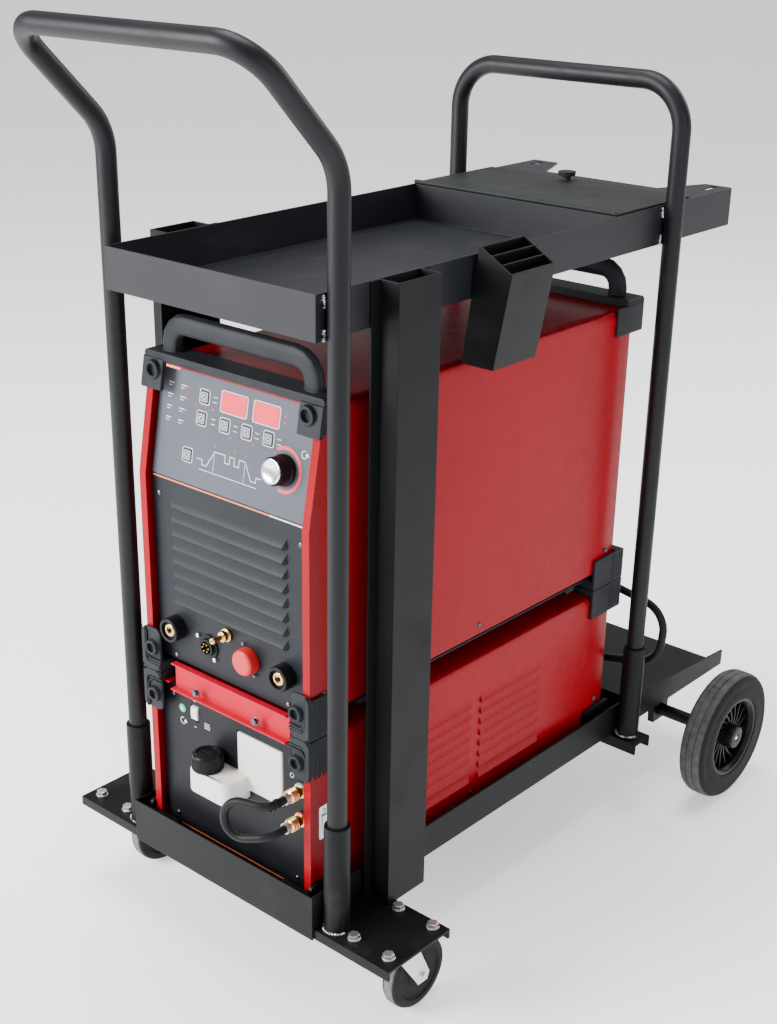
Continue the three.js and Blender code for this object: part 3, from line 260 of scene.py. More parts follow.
def weld_metal(name):
    f = Finish(name, (0.55, 0.55, 0.56), 0.35, 0.9)
    soot = f.noise(120, 4).between(0.4, 0.62)
    f.give("Base Color", f.mix(soot, (0.62, 0.63, 0.65), (0.05, 0.05, 0.055)))
    f.bump(f.noise(400, 3), 0.5, 0.0006)
    return f.material


def panel_film(name):
    """The leaning control face carries a pale film; the sheet below it is dark and textured."""
    f = Finish(name, (0.1, 0.1, 0.11), 0.45, Specular_IOR_Level=0.18)
    film_edge = BREAK_Z / 1000
    upper = f.axis("Z").between(film_edge + 0.0002, film_edge + 0.0006)
    grain = f.noise(900, 2, 0.6)
    low = f.mix(f.noise(12, 3).between(0.35, 0.7), (0.0075, 0.0090, 0.0130), (0.0105, 0.0125, 0.0170))
    high = f.mix(f.noise(7, 3).between(0.3, 0.7), (0.078, 0.084, 0.105), (0.092, 0.099, 0.122))
    f.give("Base Color", f.mix(upper, low, high))
    f.give("Roughness", 0.36 + upper * 0.06 + grain * 0.12)
    f.bump(grain * (1 - upper * 0.8), 0.22, 0.0003)
    return f.material


def plain(name, colour, rough=0.4, speck=0.12, **constants):
    f = Finish(name, colour, rough, **constants)
    darker = tuple(part * 0.6 for part in colour)
    f.give("Base Color", f.mix(f.noise(150, 3).between(0.4, 0.7) * speck, colour, darker))
    f.give("Roughness", rough + f.noise(300, 2) * 0.1)
    return f.material


FRAME_BLACK = powder_coat("frame_black", (0.0045, 0.005, 0.006), (0.014, 0.014, 0.016))
FRAME_SCUFFED = powder_coat("frame_scuffed", (0.0045, 0.005, 0.006), (0.040, 0.040, 0.040), 0.5, chips=0.015)
# The tray's black is mixed lighter than the frame's. That is partly painted light standing in for the light on
# the tray's front face. Its grey smears are real dust and scuffs.
TRAY_BLACK_PAINTED_LIGHT = powder_coat("tray_black_painted_light", (0.0100, 0.0112, 0.0145), (0.038, 0.039, 0.043), 0.55, shine=0.26)
TUBE_BLACK = powder_coat("tube_black", (0.0045, 0.005, 0.007), (0.010, 0.011, 0.014), 0.5, shine=0.24)
TRAY_LID = moulded("tray_lid_enamel", (0.015, 0.017, 0.0165), 0.5, 0.12, 700, 1.5)
COVER_RED = paint("cover_red", (0.31, 0.0012, 0.0085), (0.27, 0.0010, 0.0065))
STRAP_RED = paint("strap_red", (0.55, 0.003, 0.030), (0.48, 0.003, 0.024), 0.3)
PANEL_GREY = panel_film("panel_grey")
PANEL_BLACK = moulded("panel_black", (0.007, 0.0075, 0.0095), 0.36, 0.08)
MOULDING = moulded("moulding", (0.015, 0.0165, 0.020), 0.46, 0.2)
BLACK_PLASTIC = moulded("black_plastic", (0.006, 0.006, 0.007), 0.32, 0.1)
KEY_GREY = moulded("key_grey", (0.095, 0.10, 0.12), 0.45, 0.06)
HOSE = moulded("hose_rubber", (0.009, 0.009, 0.010), 0.45, 0.15)
ZINC = metal("zinc", (0.72, 0.74, 0.76), 0.34, (1, 1, 0.2), 240, (0.4, 0.42, 0.44))
BRASS = metal("brass", (0.80, 0.56, 0.22), 0.22, (1, 1, 1), 300, (0.38, 0.2, 0.06))
ALUMINIUM = metal("aluminium", (0.6, 0.61, 0.62), 0.4)
DARK_STEEL = metal("dark_steel", (0.10, 0.10, 0.11), 0.3)
CHROME = metal("chrome_cap", (0.80, 0.80, 0.82), 0.12, (1, 1, 1), 500, (0.5, 0.5, 0.52), 0.1)
WELD = weld_metal("weld_metal")
TYRE = tyre_rubber("tyre_rubber", (0.009, 0.009, 0.009), (0.11, 0.11, 0.105), 0.0215, WHEEL_X / 1000)
CASTER_TYRE = tyre_rubber("caster_rubber", (0.010, 0.010, 0.010), (0.20, 0.20, 0.19), 0.012, CASTER_X / 1000)
TANK_WHITE = plain("tank_white", (0.80, 0.80, 0.76), 0.32, 0.05,
                   Subsurface_Weight=0.35, Subsurface_Radius=(0.03, 0.03, 0.025))
ROCKER_WHITE = plain("rocker_white", (0.82, 0.82, 0.80), 0.35)
CAP_RED = plain("cap_red", (0.62, 0.012, 0.014), 0.42)
DISPLAY = plain("display_red", (0.80, 0.020, 0.055), 0.2, 0.1,
                Emission_Color=(0.9, 0.05, 0.10, 1), Emission_Strength=0.35)
PRINT_WHITE = plain("print_white", (0.72, 0.74, 0.78), 0.5)
PRINT_ORANGE = plain("print_orange", (0.80, 0.19, 0.06), 0.5)
PRINT_RED = plain("print_red", (0.80, 0.035, 0.05), 0.45)
PRINT_BLUE = plain("print_blue", (0.22, 0.45, 0.85), 0.45)
PRINT_GREEN = plain("print_green", (0.02, 0.42, 0.17), 0.45)


# ---- making pieces ------------------------------------------------------------------------------
def only(obj):
    bpy.ops.object.select_all(action="DESELECT")
    obj.select_set(True)
    bpy.context.view_layer.objects.active = obj


def editing(obj):
    only(obj)
    bpy.ops.object.mode_set(mode="EDIT")
    bpy.ops.mesh.select_all(action="SELECT")


def done_editing():
    bpy.ops.object.mode_set(mode="OBJECT")


def modify(obj, kind, **settings):
    only(obj)
    modifier = obj.modifiers.new(kind.lower(), kind)
    for name, value in settings.items():
        setattr(modifier, name, value)
    bpy.ops.object.modifier_apply(modifier=modifier.name)


def soften(obj, width, segments=2, limit=35, smooth=35):
    """Rounds the edges sharper than limit degrees and shades the rest smooth."""
    if width:
        modify(obj, "BEVEL", width=width, segments=segments, limit_method="ANGLE",
               angle_limit=math.radians(limit), use_clamp_overlap=False)
    only(obj)
    bpy.ops.object.shade_smooth_by_angle(angle=math.radians(smooth))
    if width:
        modify(obj, "WEIGHTED_NORMAL", keep_sharp=True)


def settle(obj):
    """Puts the piece's place into its mesh."""
    only(obj)
    bpy.ops.object.transform_apply(location=True, rotation=True, scale=True)
    return obj


def hand_over(obj, finish, body, replaces=None):
    """Gives a finished piece its material and its moving body, and hides the drawn piece it stands for."""
    obj.data.materials.clear()
    obj.data.materials.append(finish)
    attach(obj, body)
    if replaces:
        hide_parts(replaces)


def refined(node, finish, body="set", width=0.0008, segments=2, smooth=35):
    """A copy of a drawn piece with its facets merged and its edges rounded."""
    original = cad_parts[node]
    copy = bpy.data.objects.new(node + "_fine", original.data.copy())
    bpy.context.scene.collection.objects.link(copy)
    editing(copy)
    bpy.ops.mesh.remove_doubles(threshold=0.00002)
    bpy.ops.mesh.dissolve_limited(angle_limit=math.radians(0.6))
    done_editing()
    soften(copy, width, segments, 35, smooth)
    hand_over(copy, finish, body, node)


def aimed(place, direction):
    """A matrix that sends local +Z along direction at place."""
    return Matrix.Translation(place) @ Vector(direction).to_track_quat("Z", "Y").to_matrix().to_4x4()


def turned(name, profile, place, direction, segments=64, ring=False, width=0.0, smooth=35):
    """A circle drawn out through (radius, height) millimetre steps; a ring's last step meets its first."""
    bpy.ops.object.select_all(action="DESELECT")
    radius, height = profile[0]
    bpy.ops.mesh.primitive_circle_add(vertices=segments, radius=radius / 1000, location=(0, 0, height / 1000))
    obj = bpy.context.object
    obj.name = name
    settle(obj)
    editing(obj)
    for wide, high in profile[1:] + (profile[:1] if ring else []):
        bpy.ops.mesh.extrude_edges_move(TRANSFORM_OT_translate={"value": (0, 0, (high - height) / 1000)})
        bpy.ops.transform.resize(value=(wide / radius, wide / radius, 1), center_override=(0, 0, high / 1000))
        radius, height = wide, high
    if not ring:
        bpy.ops.mesh.edge_face_add()
        bpy.ops.mesh.select_all(action="DESELECT")
        bpy.ops.mesh.select_non_manifold()
        bpy.ops.mesh.edge_face_add()
    bpy.ops.mesh.select_all(action="SELECT")
    bpy.ops.mesh.remove_doubles(threshold=0.000005)
    bpy.ops.mesh.normals_make_consistent(inside=False)
    done_editing()
    obj.matrix_world = aimed(place, direction)
    settle(obj)
    soften(obj, width, 2, 30, smooth)
    return obj


def flat(name, outlines, place, direction, depth, up=UP, width=0.0):
    """Filled outlines of (across, up) millimetres, drawn out along direction; one in another is a hole."""
    data = bpy.data.curves.new(name, "CURVE")
    data.dimensions = "2D"
    data.fill_mode = "BOTH"
    data.extrude = depth / 2000
    for outline in outlines:
        spline = data.splines.new("POLY")
        spline.points.add(len(outline) - 1)
        for knot, (across, rise) in zip(spline.points, outline):
            knot.co = (across / 1000, rise / 1000, 0, 1)
        spline.use_cyclic_u = True
    obj = bpy.data.objects.new(name, data)
    bpy.context.scene.collection.objects.link(obj)
    only(obj)
    bpy.ops.object.convert(target="MESH")
    obj = bpy.context.object
    editing(obj)
    bpy.ops.mesh.remove_doubles(threshold=0.000002)
    bpy.ops.mesh.normals_make_consistent(inside=False)
    done_editing()
    ahead = Vector(direction).normalized()
    across = Vector(up).cross(ahead).normalized()
    turn = Matrix((across, ahead.cross(across), ahead)).transposed().to_4x4()
    obj.matrix_world = Matrix.Translation(Vector(place) + ahead * depth / 2000) @ turn
    settle(obj)
    soften(obj, width)
    return obj


def bent_run(corners, radii, steps):
    """Points along straight lines joined by round bends; corners in metres, radii in millimetres."""
    points = [corners[0]]
    for i in range(1, len(corners) - 1):
        back = (corners[i - 1] - corners[i]).normalized()
        ahead = (corners[i + 1] - corners[i]).normalized()
        half = math.acos(max(-1, min(1, back.dot(ahead)))) / 2
        radius = radii[i - 1] / 1000
        centre = corners[i] + (back + ahead).normalized() * (radius / math.sin(half))
        first = corners[i] + back * (radius / math.tan(half)) - centre
        last = corners[i] + ahead * (radius / math.tan(half)) - centre
        axis, sweep = first.cross(last).normalized(), first.angle(last)
        points += [centre + Matrix.Rotation(sweep * k / steps, 3, axis) @ first for k in range(steps + 1)]
    return points + [corners[-1]]


def line_of(name, points, diameter, sides=5, cyclic=False):
    """A round curve through the points."""
    data = bpy.data.curves.new(name, "CURVE")
    data.dimensions = "3D"
    data.bevel_depth = diameter / 2000
    data.bevel_resolution = sides
    data.use_fill_caps = not cyclic
    spline = data.splines.new("POLY")
    spline.points.add(len(points) - 1)
    for knot, point in zip(spline.points, points):
        knot.co = (*point, 1)
    spline.use_cyclic_u = cyclic
    obj = bpy.data.objects.new(name, data)
    bpy.context.scene.collection.objects.link(obj)
    return obj


def wire(name, points, diameter, sides=5, cyclic=False):
    """The same as a mesh."""
    only(line_of(name, points, diameter, sides, cyclic))
    bpy.ops.object.convert(target="MESH")
    bpy.ops.object.shade_smooth_by_angle(angle=math.radians(50))
    return bpy.context.object


def joined(name, parts):
    bpy.ops.object.select_all(action="DESELECT")
    for part in parts:
        part.select_set(True)
    bpy.context.view_layer.objects.active = parts[0]
    if len(parts) > 1:
        bpy.ops.object.join()
    parts[0].name = name
    return parts[0]


def copied_round(obj, centre, axis, count):
    """The piece and its copies, each with a mesh of its own, set evenly round an axis."""
    made = [obj]
    for k in range(1, count):
        turn = Matrix.Rotation(2 * math.pi * k / count, 4, axis)
        copy = obj.copy()
        copy.data = obj.data.copy()
        bpy.context.scene.collection.objects.link(copy)
        copy.matrix_world = Matrix.Translation(centre) @ turn @ Matrix.Translation(-centre) @ obj.matrix_world
        made.append(settle(copy))
    return made


# ---- outlines, in millimetres -------------------------------------------------------------------
def ring_of(x, z, radius, count=40, start=0.0, sweep=360.0):
    whole = abs(sweep) >= 360
    angles = [math.radians(start + sweep * i / count) for i in range(count if whole else count + 1)]
    return [(x + radius * math.cos(a), z + radius * math.sin(a)) for a in angles]


def rounded(x0, x1, z0, z1, radius):
    points = []
    for x, z, start in ((x1 - radius, z1 - radius, 0), (x0 + radius, z1 - radius, 90),
                        (x0 + radius, z0 + radius, 180), (x1 - radius, z0 + radius, 270)):
        points += ring_of(x, z, radius, 5, start, 90)
    return points


def thin_frame(x0, x1, z0, z1, wide, outer, inner):
    """A rounded frame of even width round a rectangle, with the radii of its outer and inner corners."""
    return [rounded(x0 - wide, x1 + wide, z0 - wide, z1 + wide, outer), rounded(x0, x1, z0, z1, inner)]


def arc_band(x, z, radius, wide, start, sweep, count=48):
    outer = ring_of(x, z, radius + wide / 2, count, start, sweep)
    inner = ring_of(x, z, radius - wide / 2, count, start, sweep)
    return outer + inner[::-1]


def ribbon(points, wide):
    """A line of even width with mitred corners."""
    points = [Vector(point) for point in points]
    left, right = [], []
    for i, point in enumerate(points):
        before = (point - points[i - 1]).normalized() if i else (points[1] - point).normalized()
        after = (points[i + 1] - point).normalized() if i < len(points) - 1 else before
        mitre = Vector((-(before + after).y, (before + after).x)).normalized()
        reach = wide / 2 / max(0.35, mitre.dot(Vector((-before.y, before.x))))
        left.append(tuple(point + mitre * reach))
        right.append(tuple(point - mitre * reach))
    return left + right[::-1]


def bar(x0, z0, x1, z1, wide):
    return ribbon([(x0, z0), (x1, z1)], wide)


def both_halves(half):
    """A wheel's whole (radius, height) profile from the half on its outer side, bore first."""
    return [(radius, -height) for radius, height in half] + half[::-1]


# ---- cords --------------------------------------------------------------------------------------
def length_of(points):
    return sum((b - a).length for a, b in zip(points, points[1:]))


def jumper_hose():
    """The loop that joins the cooler's two couplings while no torch is fitted."""
    tip = PANEL_Y - 32.3
    corners = [(COUPLING_X, tip, RETURN_Z), (COUPLING_X, tip - 26, RETURN_Z), (59, tip - 44, 300),
               (61, tip - 42, 240), (COUPLING_X, tip - 26, SUPPLY_Z), (COUPLING_X, tip, SUPPLY_Z)]
    run = bent_run([at(*corner) for corner in corners], [22, 28, 22, 22], 8)
    hose = line_of("jumper_hose_fine", run, 11, 6)
    hand_over(hose, HOSE, "set", "jumper_hose")
    length_of(run)


def supply_lead():
    """The cooler's lead, from the welder's rear sheet down to the cooler's."""
    rear = REAR_SHEET_Y + 0.3
    (top_x, top_z), (foot_x, foot_z) = LEAD_TOP, LEAD_FOOT
    corners = [(top_x, rear, top_z), (top_x, rear + 52, top_z), (100, rear + 56, 350), (212, rear + 54, 334),
               (204, rear + 54, 246), (foot_x, rear + 52, foot_z), (foot_x, rear, foot_z)]
    run = bent_run([at(*corner) for corner in corners], [36, 48, 40, 48, 36], 8)
    lead = line_of("supply_lead_fine", run, 12, 6)
    hand_over(lead, HOSE, "set", "supply_lead")
    length_of(run)


jumper_hose()
supply_lead()


# ---- trolley ------------------------------------------------------------------------------------
def sheet_parts():
    for node, finish, width in (
            ("front_caster_plate", FRAME_SCUFFED, 0.0007), ("base_frame", FRAME_SCUFFED, 0.0007),
            ("rear_cross_channel", FRAME_BLACK, 0.0006), ("bottle_platform", FRAME_SCUFFED, 0.0007),
            ("tool_tray", TRAY_BLACK_PAINTED_LIGHT, 0.0007), ("rod_channel_right", FRAME_BLACK, 0.0005),
            ("rod_channel_left", FRAME_BLACK, 0.0005), ("electrode_box", FRAME_BLACK, 0.0005),
            ("axle", FRAME_BLACK, 0.0008)):
        refined(node, finish, width=width)
    refined("tray_lid", TRAY_LID, "lid", width=0.0006)
    for side in ("left", "right"):
        refined("caster_mount_" + side, ZINC, width=0.0006)
        refined("caster_fork_" + side, ZINC, "fork_" + side, width=0.0006)


def tube(node, corners, radii, steps):
    run = bent_run([at(*corner) for corner in corners], radii, steps)
    hand_over(wire(node + "_fine", run, 25, 10), TUBE_BLACK, "set", node)


def handles():
    foot = 133.3
    front_bend, grip_y, grip_z = 1065, -100, 1188
    right = [(POLE_X, grip_y, grip_z), (POLE_X, FRONT_POLE_Y, front_bend), (POLE_X, FRONT_POLE_Y, foot)]
    left = [(-x, y, z) for x, y, z in reversed(right)]
    tube("front_handle", left + right, [70, 48, 48, 70], 14)
    right = [(POLE_X, REAR_POLE_Y, 1090), (POLE_X, REAR_POLE_Y, foot)]
    left = [(-x, y, z) for x, y, z in reversed(right)]
    tube("rear_handle", left + right, [62, 62], 16)


TREAD = [(64.3, 19), (66, 20.6), (79, 21.2), (81, 20.2), (86, 20.6), (94, 20.4), (98.5, 18), (101.4, 13.5),
         (102.4, 9), (102.4, 7), (100.6, 6), (100.6, 5.4), (102.4, 4.4)]
BARREL = [(55, 13), (58, 18), (60, 19.4), (64, 19.4)]
HUB = [(10.4, -21.4), (17, -21.4), (18.5, -19), (19.5, -8), (19.5, 8), (18.5, 20), (17, 23.5), (14, 24.4),
       (6, 24.4), (5, 23), (4, 23), (4, 21.7), (10.4, 21.7)]
CASTER_TREAD = [(5.4, 11), (8, 12), (19, 12), (21, 9.6), (36, 9.6), (38, 12), (44, 12), (47.5, 10.5),
                (49.6, 7), (50, 3)]


def spoke_outline():
    """One spoke of the rim: it sweeps forwards on its way out from the hub and thins a little."""
    inner, reach, sweep, steps = 17.5, 39, math.radians(34), 6
    outline = []
    for edge in (1, -1):
        row = []
        for i in range(steps + 1):
            share = i / steps
            radius = inner + reach * share
            angle = sweep * math.sin(math.pi / 2 * share) + edge * (1.7 + 0.5 * (1 - share)) / radius
            row.append((radius * math.cos(angle), radius * math.sin(angle)))
        outline += row[::edge]
    return outline


def rear_wheels():
    for side, sign in (("left", -1), ("right", 1)):
        body = "rear_wheel_" + side
        centre, outward = at(sign * WHEEL_X, WHEEL_Y, WHEEL_Z), Vector((sign, 0, 0))
        tyre = turned("rear_tyre_fine_" + side, both_halves(TREAD), centre, outward, 96, True, smooth=32)
        hand_over(tyre, TYRE, body, "rear_tyre_" + side)
        parts = [turned("rim_barrel", both_halves(BARREL), centre, outward, 80, True, 0.0005, 32),
                 turned("rim_hub", HUB, centre, outward, 48, True, 0.0005, 32)]
        spoke = flat("spoke", [spoke_outline()], centre - outward * 0.0065, outward, 15, width=0.0007)
        parts += copied_round(spoke, centre, outward, 18)
        rim = joined("rear_rim_fine_" + side, parts)
        hand_over(rim, BLACK_PLASTIC, body, "rear_rim_" + side)
        dome = [(3.9, 0), (3.9, 1.6), (2.6, 2.6), (0.6, 3)]
        cap = turned("hub_cap_" + side, dome, centre + outward * 0.0218, outward, 32, width=0.0003)
        hand_over(cap, ZINC, body)


def caster_wheels():
    for side, sign in (("left", -1), ("right", 1)):
        centre = at(sign * CASTER_X, CASTER_Y, CASTER_Z)
        wheel = turned("caster_wheel_fine_" + side, both_halves(CASTER_TREAD), centre, (sign, 0, 0), 72, True,
                       smooth=32)
        hand_over(wheel, CASTER_TYRE, "caster_" + side, "caster_wheel_" + side)


def hexagon(name, place, direction, across=13.0, height=5.0, washer=17.0):
    """A hexagon head with its top eased, on a washer."""
    bpy.ops.object.select_all(action="DESELECT")
    bpy.ops.mesh.primitive_cylinder_add(
        vertices=6, radius=across / 2000 / math.cos(math.pi / 6), depth=height / 1000,
        location=(0, 0, height / 2000 + 0.0014))
    head = settle(bpy.context.object)
    # Everything in the mesh is deselected first, so that only the marked top counts in edit mode.
    editing(head)
    bpy.ops.mesh.select_all(action="DESELECT")
    done_editing()
    for face in head.data.polygons:
        face.select = face.normal.z > 0.9
    bpy.ops.object.mode_set(mode="EDIT")
    bpy.ops.mesh.inset(thickness=0.0008)
    bpy.ops.transform.translate(value=(0, 0, 0.0004))
    done_editing()
    soften(head, 0.0003, 2, 30, 30)
    head.matrix_world = aimed(place, direction)
    settle(head)
    rim = washer / 2
    steps = [(2, 0), (rim, 0), (rim, 1.2), (rim - 0.4, 1.5), (2, 1.5)]
    return joined(name, [head, turned(name + "_washer", steps, place, direction, 36)])


def socket_screw(name, place, direction, radius, height):
    """A round head with an eased edge."""
    steps = [(radius, 0), (radius, height * 0.7), (radius * 0.8, height), (radius * 0.5, height)]
    return turned(name, steps, place, direction, 32, width=0.0002)


def domed_screw(name, place, direction, radius):
    steps = [(radius, 0), (radius * 0.92, radius * 0.28), (radius * 0.6, radius * 0.5),
             (radius * 0.2, radius * 0.58)]
    return turned(name, steps, place, direction, 28)


def caster_bolts():
    bolts = [hexagon("bolt", at(sign * x, y, CASTER_PLATE_TOP), UP)
             for sign in (-1, 1) for x in (214.7, 271.3) for y in (20, 104)]
    hand_over(joined("caster_bolts", bolts), ZINC, "set")


def bead(name, points, size):
    """A run of overlapping weld ripples, size millimetres in radius."""
    drops = []
    for point in points:
        bpy.ops.object.select_all(action="DESELECT")
        bpy.ops.mesh.primitive_ico_sphere_add(subdivisions=2, radius=size / 1000, location=point)
        drop = bpy.context.object
        drop.scale = (random.uniform(0.75, 1.1), random.uniform(0.7, 1.0), random.uniform(0.6, 0.9))
        drops.append(settle(drop))
    obj = joined(name, drops)
    only(obj)
    bpy.ops.object.shade_smooth()
    return obj


def welds():
    """Beads round the poles' feet and down the tray's sides where it meets the poles."""
    runs = []
    for sign in (-1, 1):
        for pole_y, foot_z in ((FRONT_POLE_Y, CASTER_PLATE_TOP + 1), (REAR_POLE_Y, 134)):
            angles = [math.radians(degrees) for degrees in range(200, 345, 12)]
            foot = [at(sign * POLE_X + 17 * math.cos(a), pole_y + 17 * math.sin(a), foot_z) for a in angles]
            runs.append(bead("weld", foot, 2.6))
        for y in (FRONT_POLE_Y - 11, FRONT_POLE_Y + 11, REAR_POLE_Y - 11, REAR_POLE_Y + 11):
            for z in (889, 925):
                seam = [at(sign * 172.6, y + random.uniform(-1, 1), z + k * 2.6) for k in range(-2, 3)]
                runs.append(bead("weld", seam, 2.9))
    hand_over(joined("weld_beads", runs), WELD, "set")


# ---- both machines ------------------------------------------------------------------------------
def machine_shells():
    for node, finish, slot, width in (
            ("welder_cover", COVER_RED, "cover_red", 0.0007),
            ("cooler_cover", COVER_RED, "cover_red", 0.0007),
            ("joining_strap", STRAP_RED, "cover_red", 0.0006),
            ("welder_chassis", FRAME_BLACK, "panel_black", 0.0005),
            ("cooler_chassis", FRAME_BLACK, "panel_black", 0.0005)):
        refined(node, finish, width=width)
    refined("welder_front_panel", PANEL_GREY, width=0.0004, segments=3, smooth=40)
    refined("cooler_front_panel", PANEL_BLACK, width=0.0004)
    for node in ("welder_bumper_right", "welder_bumper_left", "welder_rear_bumper", "cooler_bumper_right",
                 "cooler_bumper_left", "cooler_rear_bumper", "front_carry_handle", "rear_carry_handle"):
        refined(node, MOULDING, width=0.0012, segments=3, smooth=40)
    for node, finish, slot, body in (
            ("remote_socket", BLACK_PLASTIC, "black_plastic", "set"),
            ("remote_cap", CAP_RED, "red_plastic", "set"),
            ("current_socket_left", BLACK_PLASTIC, "black_plastic", "set"),
            ("current_socket_right", BLACK_PLASTIC, "black_plastic", "set"),
            ("gas_nipple", BRASS, "brass", "set"),
            ("mains_switch", BLACK_PLASTIC, "black_plastic", "rotary_switch"),
            ("fan_rotor", BLACK_PLASTIC, "black_plastic", "fan"),
            ("power_block", ALUMINIUM, "aluminium", "set"),
            ("pump_rocker", ROCKER_WHITE, "white_plastic", "rocker")):
        refined(node, finish, body, 0.0005, smooth=40)
    refined("coolant_tank", TANK_WHITE, width=0.0028, segments=4, smooth=40)
    for key in KEYS:
        refined("key_" + key, KEY_GREY, "key_" + key, 0.0006)


# ---- welder's control face ----------------------------------------------------------------------
def on_lean(x, z):
    return at(x, lean(z), z)


def print_on_lean(name, finish, outlines, thick=0.16, out=0.0):
    """Marks on the leaning face; outlines are in (x, height along z)."""
    rise = 1 / UP_THE_LEAN.z
    laid = [[(x, (z - BREAK_Z) * rise) for x, z in outline] for outline in outlines]
    place = at(0, PANEL_Y, BREAK_Z) + LEANING * out / 1000
    hand_over(flat(name, laid, place, LEANING, thick, UP_THE_LEAN), finish, "set")


def display_windows():
    windows = [rounded(x0, x1, WINDOW_LOW, WINDOW_HIGH, 2) for x0, x1 in WINDOWS]
    print_on_lean("displays", DISPLAY, windows, 0.5)


def white_frames():
    """Thin frames round the two windows and the six keys."""
    frames = []
    for x0, x1 in WINDOWS:
        frames += thin_frame(x0 - 0.6, x1 + 0.6, WINDOW_LOW - 0.6, WINDOW_HIGH + 0.6, 1.0, 3, 2.4)
    for x, z in KEYS.values():
        frames += thin_frame(x - 8.2, x + 8.2, z - 8.4, z + 8.4, 0.8, 3.2, 2.6)
    return frames


def welding_cycle():
    """One stepped line: gas, start, ramp, hold, pulse, ramp down, gas; with its base and two uprights."""
    cycle = [(-58, 690), (-48, 690), (-48, 684), (-40, 684), (-28, 704), (-10, 704), (-10, 695), (-2, 695),
             (-2, 704), (6, 704), (6, 695), (14, 695), (14, 704), (24, 704), (36, 684), (44, 684), (44, 690),
             (52, 690)]
    return [ribbon(cycle, 0.9), bar(-52, 678, 46, 678, 0.7), bar(-28, 701, -28, 679.5, 0.5),
            bar(24, 701, 24, 679.5, 0.5)]


def small_marks():
    """Paired strokes beside the keys and lamps, and the remote symbol above the dial."""
    marks = []
    for x in (-118, -96):
        for z in (770, 756, 742, 728):
            marks += [bar(x, z, x + 9, z, 1.1), bar(x, z - 3.4, x + 6, z - 3.4, 0.8)]
    for x, z in ((-36, 738), (2, 738), (38, 738), (74, 739), (-36, 764)):
        marks += [bar(x - 3, z + 3, x + 3, z + 3, 0.9), bar(x - 3, z - 3, x + 3, z - 3, 0.9)]
    arrow_head = [(119.6, 737.2), (122.6, 732.6), (116.6, 733.4)]
    return marks + [arc_band(115, 734, 4.2, 1.0, 70, 270, 20), arrow_head]


def lamp_windows():
    places = [(-84, 770), (-84, 756), (-84, 742), (-38, 752), (-68, 752), (-4, 726), (34, 726), (70, 726),
              (80, 770), (80, 762), (-28, 711), (6, 711), (24, 711)]
    print_on_lean("lamp_windows", PRINT_RED, [ring_of(x, z, 1.3, 12) for x, z in places], 0.4)


def key_marks():
    rings = [ring_of(x, z, radius, 20) for x, z in KEYS.values() for radius in (3.1, 2.3)]
    squares = [rounded(x - half, x + half, z - half, z + half, 1.2)
               for x, z in KEYS.values() for half in (5.2, 4.6)]
    print_on_lean("key_marks", PRINT_WHITE, rings + squares, 0.15, 1.0)


def break_line():
    """The two-colour line where the sheet starts to lean."""
    place = at(0, PANEL_Y, BREAK_Z - 2.4)
    for name, finish, x0, x1 in (("break_line_orange", PRINT_ORANGE, -132, 72),
                                 ("break_line_white", PRINT_WHITE, 72, 132)):
        hand_over(flat(name, [bar(x0, 0, x1, 0, 1.9)], place, FRONT, 0.2), finish, "set")


def control_face():
    display_windows()
    print_on_lean("face_marks", PRINT_WHITE, white_frames() + welding_cycle() + small_marks())
    lamp_windows()
    print_on_lean("dial_arc", PRINT_RED, [arc_band(*DIAL, 25.2, 4.2, 125, -230, 64)], 0.2)
    key_marks()
    break_line()


# ---- louvres and mouldings ----------------------------------------------------------------------
def front_louvres():
    """Rounded lower edges of the pressed louvres, with black strips under them as painted shade."""
    lips, painted_shade_strips = [], []
    for i in range(8):
        z = 486 + 18.6 * i
        right = [(91, 21.9, z + 3.2), (95.6, 22.4, z + 3.4), (98.6, 24.4, z + 4.2), (100.4, 26.6, z + 6)]
        path = [(-x, y, height) for x, y, height in reversed(right)] + right
        lips.append(wire("lip", [at(*point) for point in path], 3.4, 4))
        # Each black strip is painted shade: a dark sheet where the lip above shades the panel.
        painted_shade_strips.append([(-97, z - 2.6), (97, z - 2.6), (95, z + 1.6), (-95, z + 1.6)])
    hand_over(joined("front_louvre_lips", lips), PANEL_GREY, "set")
    shade = flat("front_louvre_painted_shade", painted_shade_strips, at(0, PANEL_Y, 0), FRONT, 0.3)
    hand_over(shade, BLACK_PLASTIC, "set")


def side_louvres():
    """The same rounded edges and painted shade strips in two columns on both sides of the cooler."""
    lips, painted_shade_strips = [], []
    for sign in (-1, 1):
        for y0, y1 in ((190, 328), (349, 487)):
            half = (y1 - y0) / 2
            shade_strips = []
            for i in range(8):
                z = 184 + 17 * i
                path = [(0.2, y0 + 0.5, z + 5), (1.6, y0 + 2, z + 3.2), (2.5, y0 + 6, z + 2.4),
                        (2.5, y1 - 6, z + 2.4), (1.6, y1 - 2, z + 3.2), (0.2, y1 - 0.5, z + 5)]
                run = [at(sign * (SIDE_X + out), y, height) for out, y, height in path]
                lips.append(wire("lip", run, 2.8, 3))
                # The black strips under the lips are painted shade: dark sheets where the lips shade the
                # cover.
                foot, top = half - 3, half - 4
                shade_strips.append([(-foot, z - 2), (foot, z - 2), (top, z + 1.2), (-top, z + 1.2)])
            place = at(sign * SIDE_X, (y0 + y1) / 2, 0)
            painted_shade_strips.append(flat("louvre_shade", shade_strips, place, (sign, 0, 0), 0.3))
    hand_over(joined("side_louvre_lips", lips), COVER_RED, "set")
    hand_over(joined("side_louvre_painted_shade", painted_shade_strips), BLACK_PLASTIC, "set")


CORNER_BUMPERS = ("welder_bumper_right", "welder_bumper_left", "cooler_bumper_right", "cooler_bumper_left")
REAR_BUMPERS = ("welder_rear_bumper", "cooler_rear_bumper")


def corners_of(node):
    low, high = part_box(node)
    return Vector(low), Vector(high)


def rib(x, y, low, high):
    """An upright half-round rib, short of the moulding's ends."""
    return wire("rib", [(x, y, low.z + 0.004), (x, y, high.z - 0.004)], 3.0, 3)


